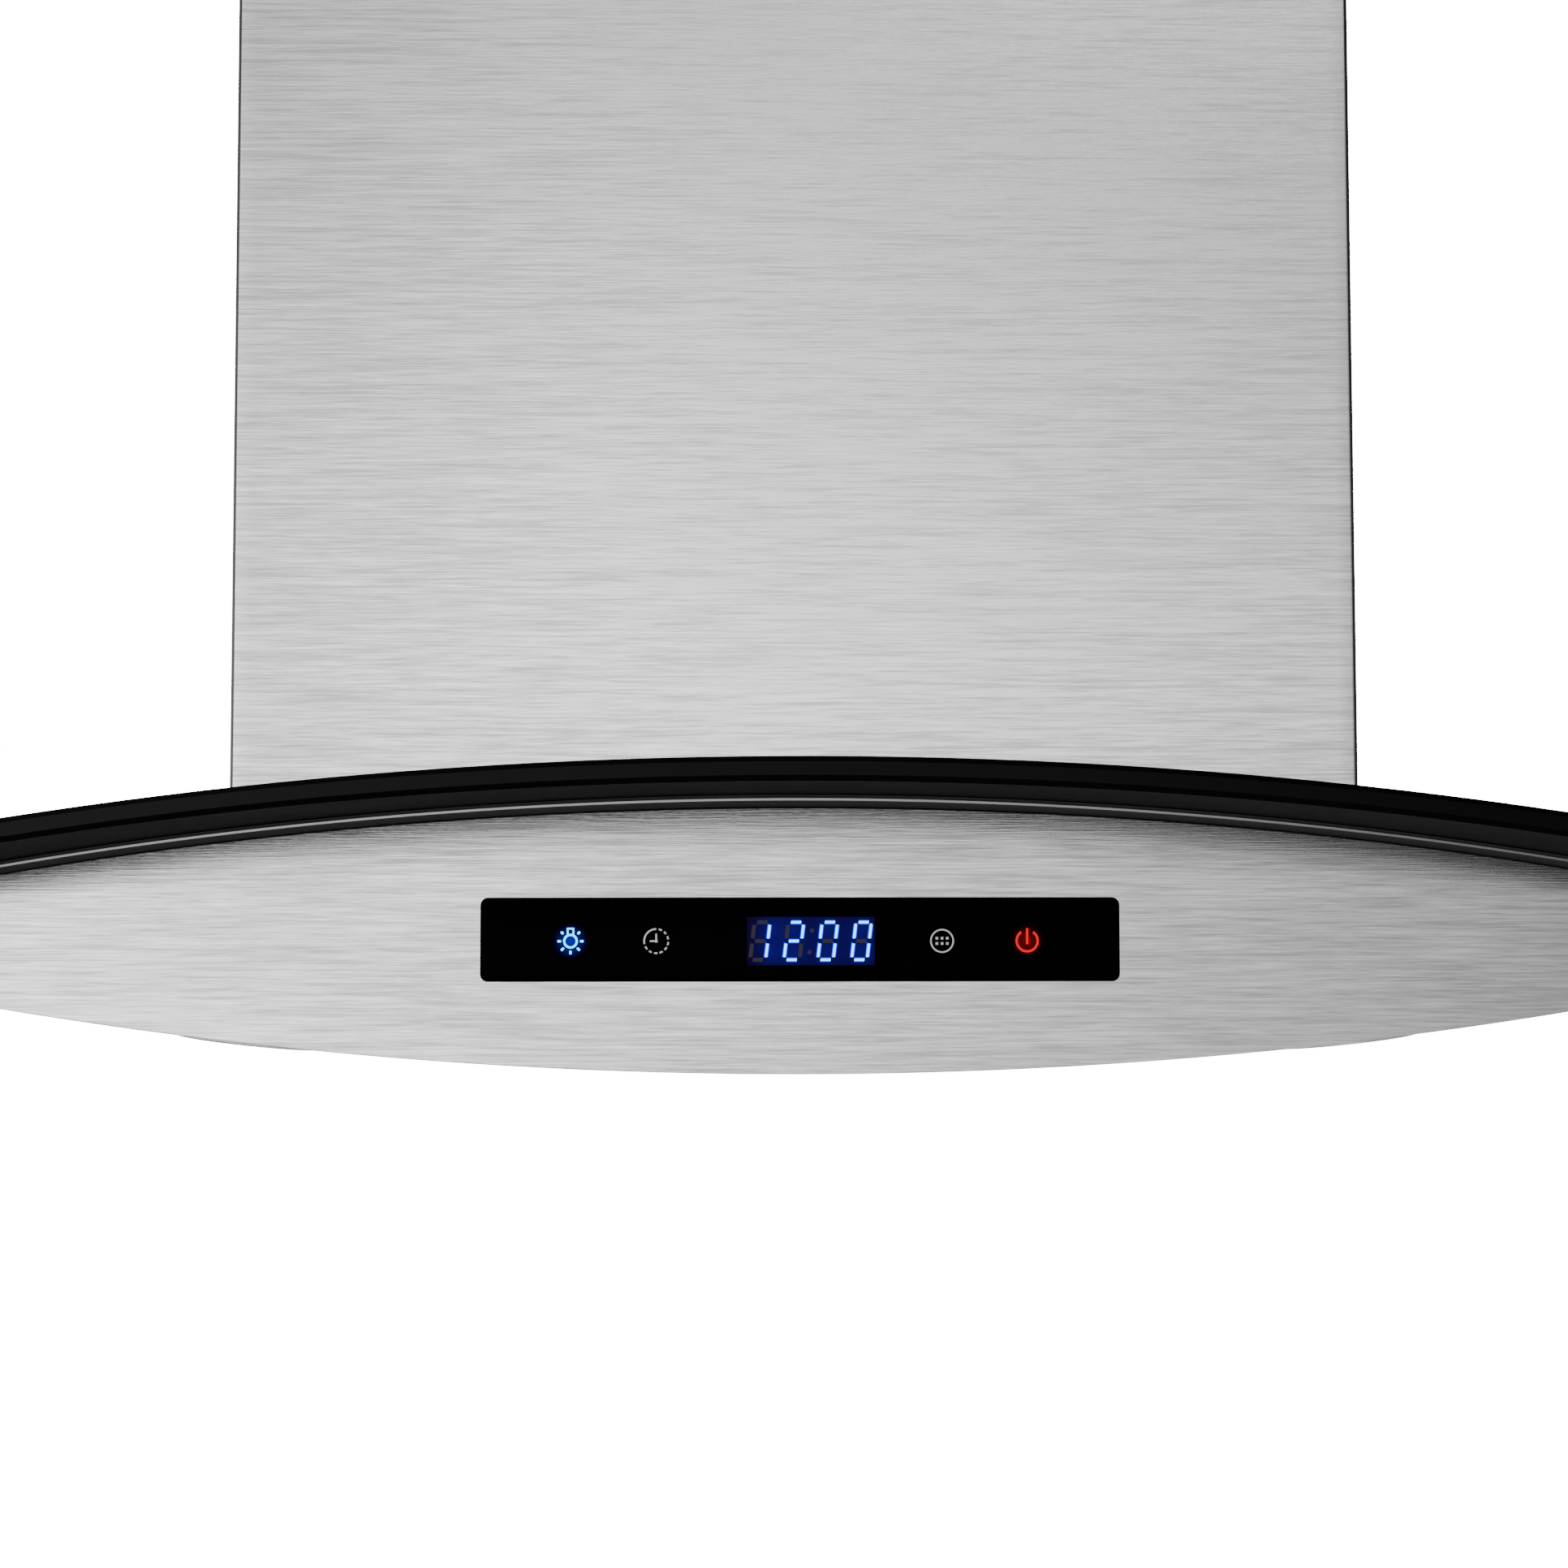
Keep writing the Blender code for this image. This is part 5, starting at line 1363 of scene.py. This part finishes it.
# ---------------------------------------------------------------- grease filters
@dataclass
class Filters:
    """Two drop-down grease filters: folded frames, two layers of baffle channels and a sprung latch each."""

    play: float = 0.001
    nose_play: float = 0.0004
    thickness: float = 0.009
    border: float = 0.014
    latch_border: float = 0.026
    pitch: float = 0.0150
    channel: float = 0.0092
    metal: float = 0.0006
    latch_length: float = 0.050
    latch_width: float = 0.012
    latch_depth: float = 0.0035
    hollow_depth: float = 0.0016
    trough_rise: float = 0.0036

    def seat(self, side: int, body: Body) -> Matrix:
        """From a filter's own frame, with its hinge edge on the origin, to the hood's."""
        outer, _, tilt = self.slope(body)
        place = (side * (outer - self.play * math.cos(tilt)), 0,
                 SHAPE.belly(outer) - self.play * math.sin(tilt))
        return Matrix.Translation(place) @ Matrix.Rotation(-side * tilt, 4, "Y")

    @staticmethod
    def slope(body: Body) -> tuple[float, float, float]:
        """The well's outer and inner edges along X, and the slope of the filter between them."""
        outer, inner = body.half - body.well_side, body.well_inner
        return outer, inner, math.atan2(SHAPE.belly(outer) - SHAPE.belly(inner), outer - inner)

    def length(self, body: Body) -> float:
        """Length of a filter along its slope."""
        outer, inner, tilt = self.slope(body)
        return (outer - inner) / math.cos(tilt) - self.play - self.nose_play - self.thickness * math.tan(tilt)

    def trough(self, name: str, run: float, open_up: bool) -> Piece:
        """One channel along X with rolled lips.

        Args:
            name: The piece's name.
            run: Its length.
            open_up: Whether its open side looks up.

        Returns:
            The channel, with its floor or roof at z = 0.
        """
        half, rise = self.channel / 2, self.trough_rise
        section = [(-half + 0.0012, rise * 0.72), (-half + 0.0003, rise), (-half, rise * 0.5),
                   (-half + 0.0009, 0.0),
                   (half - 0.0009, 0.0), (half, rise * 0.5), (half - 0.0003, rise), (half - 0.0012,
                                                                                     rise * 0.72)]
        sheet = Piece.sheet(name, run, 1.0, 1, len(section) - 1)
        turn = 1 if open_up else -1

        def folded(p: Vector) -> tuple[float, float, float]:
            """Lays the flat strip on the section."""
            y, z = section[round((p.y + 0.5) * (len(section) - 1))]
            return p.x, y, turn * z

        sheet.reshape(folded).weld()
        return sheet.thicken(self.metal, (0, 0, turn))

    def baffles(self, name: str, run: float, half_depth: float) -> Piece:
        """The lower channels open up and the upper ones, half a pitch along, open down over the slots."""
        count = int((2 * half_depth - self.channel) // self.pitch)
        start = -count * self.pitch / 2
        lower, upper = self.trough(name, run, True), self.trough("upper_trough", run, False)
        rows = [lower.twin("row", Matrix.Translation((0, start + i * self.pitch, 0.0012)))
                for i in range(count + 1)]
        top = self.thickness - 0.0014
        rows += [upper.twin("row", Matrix.Translation((0, start + (i + 0.5) * self.pitch, top)))
                 for i in range(count)]
        for spare in (lower, upper):
            bpy.data.objects.remove(spare.item, do_unlink=True)
        first, *rest = rows
        first.join(*rest)
        first.item.name = first.item.data.name = name
        return first

    def latch(self, name: str, side: int, start: float) -> Piece:
        """A finger catch with a ribbed hollow, and its tongue."""
        low, high = sorted((-side * start, -side * (start + self.latch_width)))
        half = self.latch_length / 2
        grip = Piece.block(name, (low, -half, SHAPE.gap), (high, half, self.latch_depth))
        grip.inset(lambda f: f.normal.z < -0.9, 0.0018)

        def hollow(face: bmesh.types.BMFace) -> bool:
            """Whether a face is the inset one, in the middle of the grip's underside."""
            inside = face.calc_area() < 0.9 * self.latch_length * self.latch_width and len(face.verts) == 4
            middle = middle_of(face)
            return (face.normal.z < -0.9 and inside and abs(middle.y) < 0.001
                    and abs(middle.x - (low + high) / 2) < 1e-4)

        grip.extrude(hollow, (0, 0, self.hollow_depth))
        grip.soften(0.0004, 2)
        ribs = [Piece.block("rib", (low + 0.0020, y - 0.0007, SHAPE.gap + 0.0003),
                            (high - 0.0020, y + 0.0007, 0.0022)).soften(0.0003, 2)
                for y in (-0.016, -0.008, 0.0, 0.008, 0.016)]
        a, b = sorted((-side * (start + self.latch_width - 0.0005),
                       -side * (start + self.latch_width + 0.0070)))
        tongue = Piece.block("tongue", (a, -0.012, 0.00115), (b, 0.012, 0.00315)).soften(0.0003, 2)
        return grip.join(tongue, *ribs)

    def build(self, body: Body) -> None:
        """Makes and dresses both filters and their latches."""
        length = self.length(body)
        half_depth = body.well_depth / 2 - self.play - self.border - SHAPE.gap
        run = length - self.border - self.latch_border - 2 * SHAPE.gap
        for side, end in ((-1, "left"), (1, "right")):
            seat = self.seat(side, body)
            middle = -side * (self.border + SHAPE.gap + run / 2)
            grid = self.baffles("baffle_channels_" + end, run,
                                half_depth).place(seat @ Matrix.Translation((middle, 0, 0)))
            grid.shade(40).dress(FILTER_METAL, end + "_filter", "filter_aluminium", "filter_baffles_" + end)
            catch = self.latch("latch_grip_" + end, side,
                               length - 0.004 - self.latch_width - SHAPE.gap).place(seat)
            catch.shade(35).dress(MOULDED_BLACK, end + "_latch", "black_plastic", "filter_latch_" + end)


# ---------------------------------------------------------------- carried-over works
@dataclass
class FoldedWorks:
    """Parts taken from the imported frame, with their sharp edges rounded as folds and mouldings are."""

    edges: tuple[tuple[str, float, int], ...] = (
        ("filter_frame_left", 0.0003, 2), ("filter_frame_right", 0.0003, 2), ("ceiling_plate", 0.0004, 2),
        ("chassis", 0.0004, 2), ("blower_box", 0.0005, 2), ("power_box", 0.0012, 3), ("control_housing",
                                                                                      0.0005, 2),
        ("outlet_collar", 0.0004, 2), ("motor_bracket", 0.0004, 2), ("control_board", 0.0001, 1))

    def build(self) -> None:
        """Copies each node, welds the copy and rounds its edges."""
        for node, width, steps in self.edges:
            source = frame["nodes"][node]
            item = source.copy()
            item.data = source.data.copy()
            for key in list(item.keys()):
                del item[key]
            item.parent = None
            item.name = item.data.name = node + "_finished"
            bpy.context.scene.collection.objects.link(item)
            piece = Piece(item)
            with piece.vice(Picks.CORNERS):
                bpy.ops.mesh.remove_doubles(threshold=1e-6)
                bpy.ops.mesh.dissolve_limited(angle_limit=math.radians(0.5))
            piece.soften(width, steps, 40).shade(30)
            finish = next(f for f in WORKS_FINISHES if node in CARRIED[f.name])
            slot = next(part["material_slot"] for part in frame["record"]["subparts"] if part["node"] == node)
            piece.dress(finish, source["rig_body"], slot, node)


CARRIED: dict[str, tuple[str, ...]] = {
    "zinc_coated_sheet": ("ceiling_plate", "chassis", "blower_box", "scroll_housing", "motor_bracket",
                          *("upper_post_" + c for c in CORNERS), *("lower_post_" + c for c in CORNERS)),
    "bright_zinc_plating": (*("height_bolt_" + c for c in CORNERS), *("glass_screw_" + c for c in CORNERS)),
    "motor_enamel": ("motor",),
    "ground_shaft_steel": ("motor_shaft", "damper_pin"),
    "moulded_black_plastic": ("impeller", "outlet_collar", "damper_flap_left", "damper_flap_right",
                              "power_box",
                              "cable_gland", "control_housing", "display_module"),
    "circuit_board": ("control_board",),
    "satin_filter_aluminium": ("filter_frame_left", "filter_frame_right"),
}
WORKS_FINISHES: tuple[Finish, ...] = (ZINC_SHEET, ZINC_BRIGHT, MOTOR_ENAMEL, SHAFT_STEEL, MOULDED_BLACK,
                                      BOARD, FILTER_METAL)


def dress_works() -> None:
    """Gives the CAD nodes that are still shown their finishes."""
    for finish in WORKS_FINISHES:
        for node in CARRIED[finish.name]:
            item = frame["nodes"][node]
            item.data.materials.clear()
            item.data.materials.append(finish.material())
            LOG.info("%s: carried over in %s", node, finish.name)


# ---------------------------------------------------------------- studio
@dataclass
class Studio:
    """A pale floor, a bright room with a soft gradient, and the camera."""

    eye: tuple[float, float, float] = (-0.0100, -0.9272, -0.9198)
    yaw: float = 0.489
    pitch: float = 3.552
    roll: float = -0.054
    lens: float = 60.22
    seen_white: float = 16.5
    floor_white: float = 7.0
    floor_radius: float = 8.5
    floor_z: float = -4.0
    aim: tuple[float, float, float] = (0.0, 0.0, -0.7)

    def camera(self) -> None:
        """Puts the camera in front of the hood, a little below the glass."""
        yaw, pitch, roll = (math.radians(v) for v in (self.yaw, self.pitch, self.roll))
        forward = Vector((math.sin(yaw) * math.cos(pitch), math.cos(yaw) * math.cos(pitch), math.sin(pitch)))
        right = Vector((math.cos(yaw), -math.sin(yaw), 0))
        up = right.cross(forward)
        side, top = right * math.cos(roll) + up * math.sin(roll), up * math.cos(roll) - right * math.sin(roll)
        data = bpy.data.cameras.new("camera")
        data.lens, data.sensor_width, data.clip_start = self.lens, 36.0, 0.01
        item = bpy.data.objects.new("camera", data)
        item.matrix_world = Matrix((side, top, -forward)).transposed().to_4x4()
        item.location = self.eye
        bpy.context.scene.collection.objects.link(item)
        bpy.context.scene.camera = item

    def room(self) -> None:
        """White to look at; to reflect, brighter toward the front left and dimmer overhead."""
        world = bpy.data.worlds.new("studio")
        bpy.context.scene.world = world
        world.use_nodes = True
        sheet = Sheet(world.node_tree)
        tree = world.node_tree
        tree.nodes.remove(tree.nodes["Background"])
        way = sheet.add("SeparateXYZ", {0: sheet.add("TexCoord").outputs["Generated"]})
        across = sheet.ramp(way.outputs["X"], -0.72, 0.70, 3.2, 0.42)
        height = sheet.ramp(way.outputs["Z"], 0.02, 0.40, 1.06, 0.30)
        level = sheet.math("MULTIPLY", across, height)
        seen = sheet.add("Background", {0: (1, 1, 1, 1), 1: self.seen_white})
        lit = sheet.add("Background", {0: (1, 1, 1, 1), 1: level})
        path = sheet.add("LightPath").outputs["Is Camera Ray"]
        both = sheet.add("MixShader", {0: path, 1: lit.outputs[0], 2: seen.outputs[0]})
        tree.links.new(both.outputs[0], tree.nodes["World Output"].inputs[0])

    def floor(self) -> None:
        """A wide pale floor under the hood, which looks as bright as the room does."""
        floor = Piece.disc("studio_floor", self.floor_radius, 96, (0, 0, self.floor_z))
        finish = bpy.data.materials.new("pale_floor")
        finish.use_nodes = True
        sheet, tree = Sheet(finish.node_tree), finish.node_tree
        shader = tree.nodes["Principled BSDF"]
        shader.inputs["Base Color"].default_value = (0.9, 0.9, 0.9, 1)
        shader.inputs["Roughness"].default_value = 0.9
        pale = sheet.add("Emission", {0: (1, 1, 1, 1), 1: self.floor_white}).outputs[0]
        path = sheet.add("LightPath").outputs["Is Camera Ray"]
        seen = sheet.add("MixShader", {0: path, 1: shader.outputs[0], 2: pale})
        tree.links.new(seen.outputs[0], tree.nodes["Material Output"].inputs[0])
        floor.item.data.materials.append(finish)

    def lights(self) -> None:
        """A large soft light in front, a weaker one behind and a faint one below."""
        for name, place, size, power in (("key_light", (0.9, -2.0, 1.3), 1.8, 20.0),
                                         ("back_light", (1.8, 2.4, 0.2), 2.4, 14.0),
                                         ("low_light", (0.0, -1.2, -2.2), 1.6, 5.0)):
            data = bpy.data.lights.new(name, "AREA")
            data.size, data.energy = size, power
            item = bpy.data.objects.new(name, data)
            item.location = place
            item.rotation_euler = (Vector(self.aim) - Vector(place)).to_track_quat("-Z", "Y").to_euler()
            bpy.context.scene.collection.objects.link(item)

    def build(self) -> None:
        """Sets up the whole studio."""
        self.camera()
        self.room()
        self.floor()
        self.lights()


def main() -> None:
    """Builds the hood's pieces in order, then the studio."""
    logging.basicConfig(level=logging.INFO, format="%(message)s")
    body = Body()
    FlueCovers().build()
    Canopy().build()
    body.build()
    ControlPanel().build()
    Lamps().build(body)
    Filters().build(body)
    dress_works()
    FoldedWorks().build()
    Studio().build()


if __name__ == "__main__":
    main()
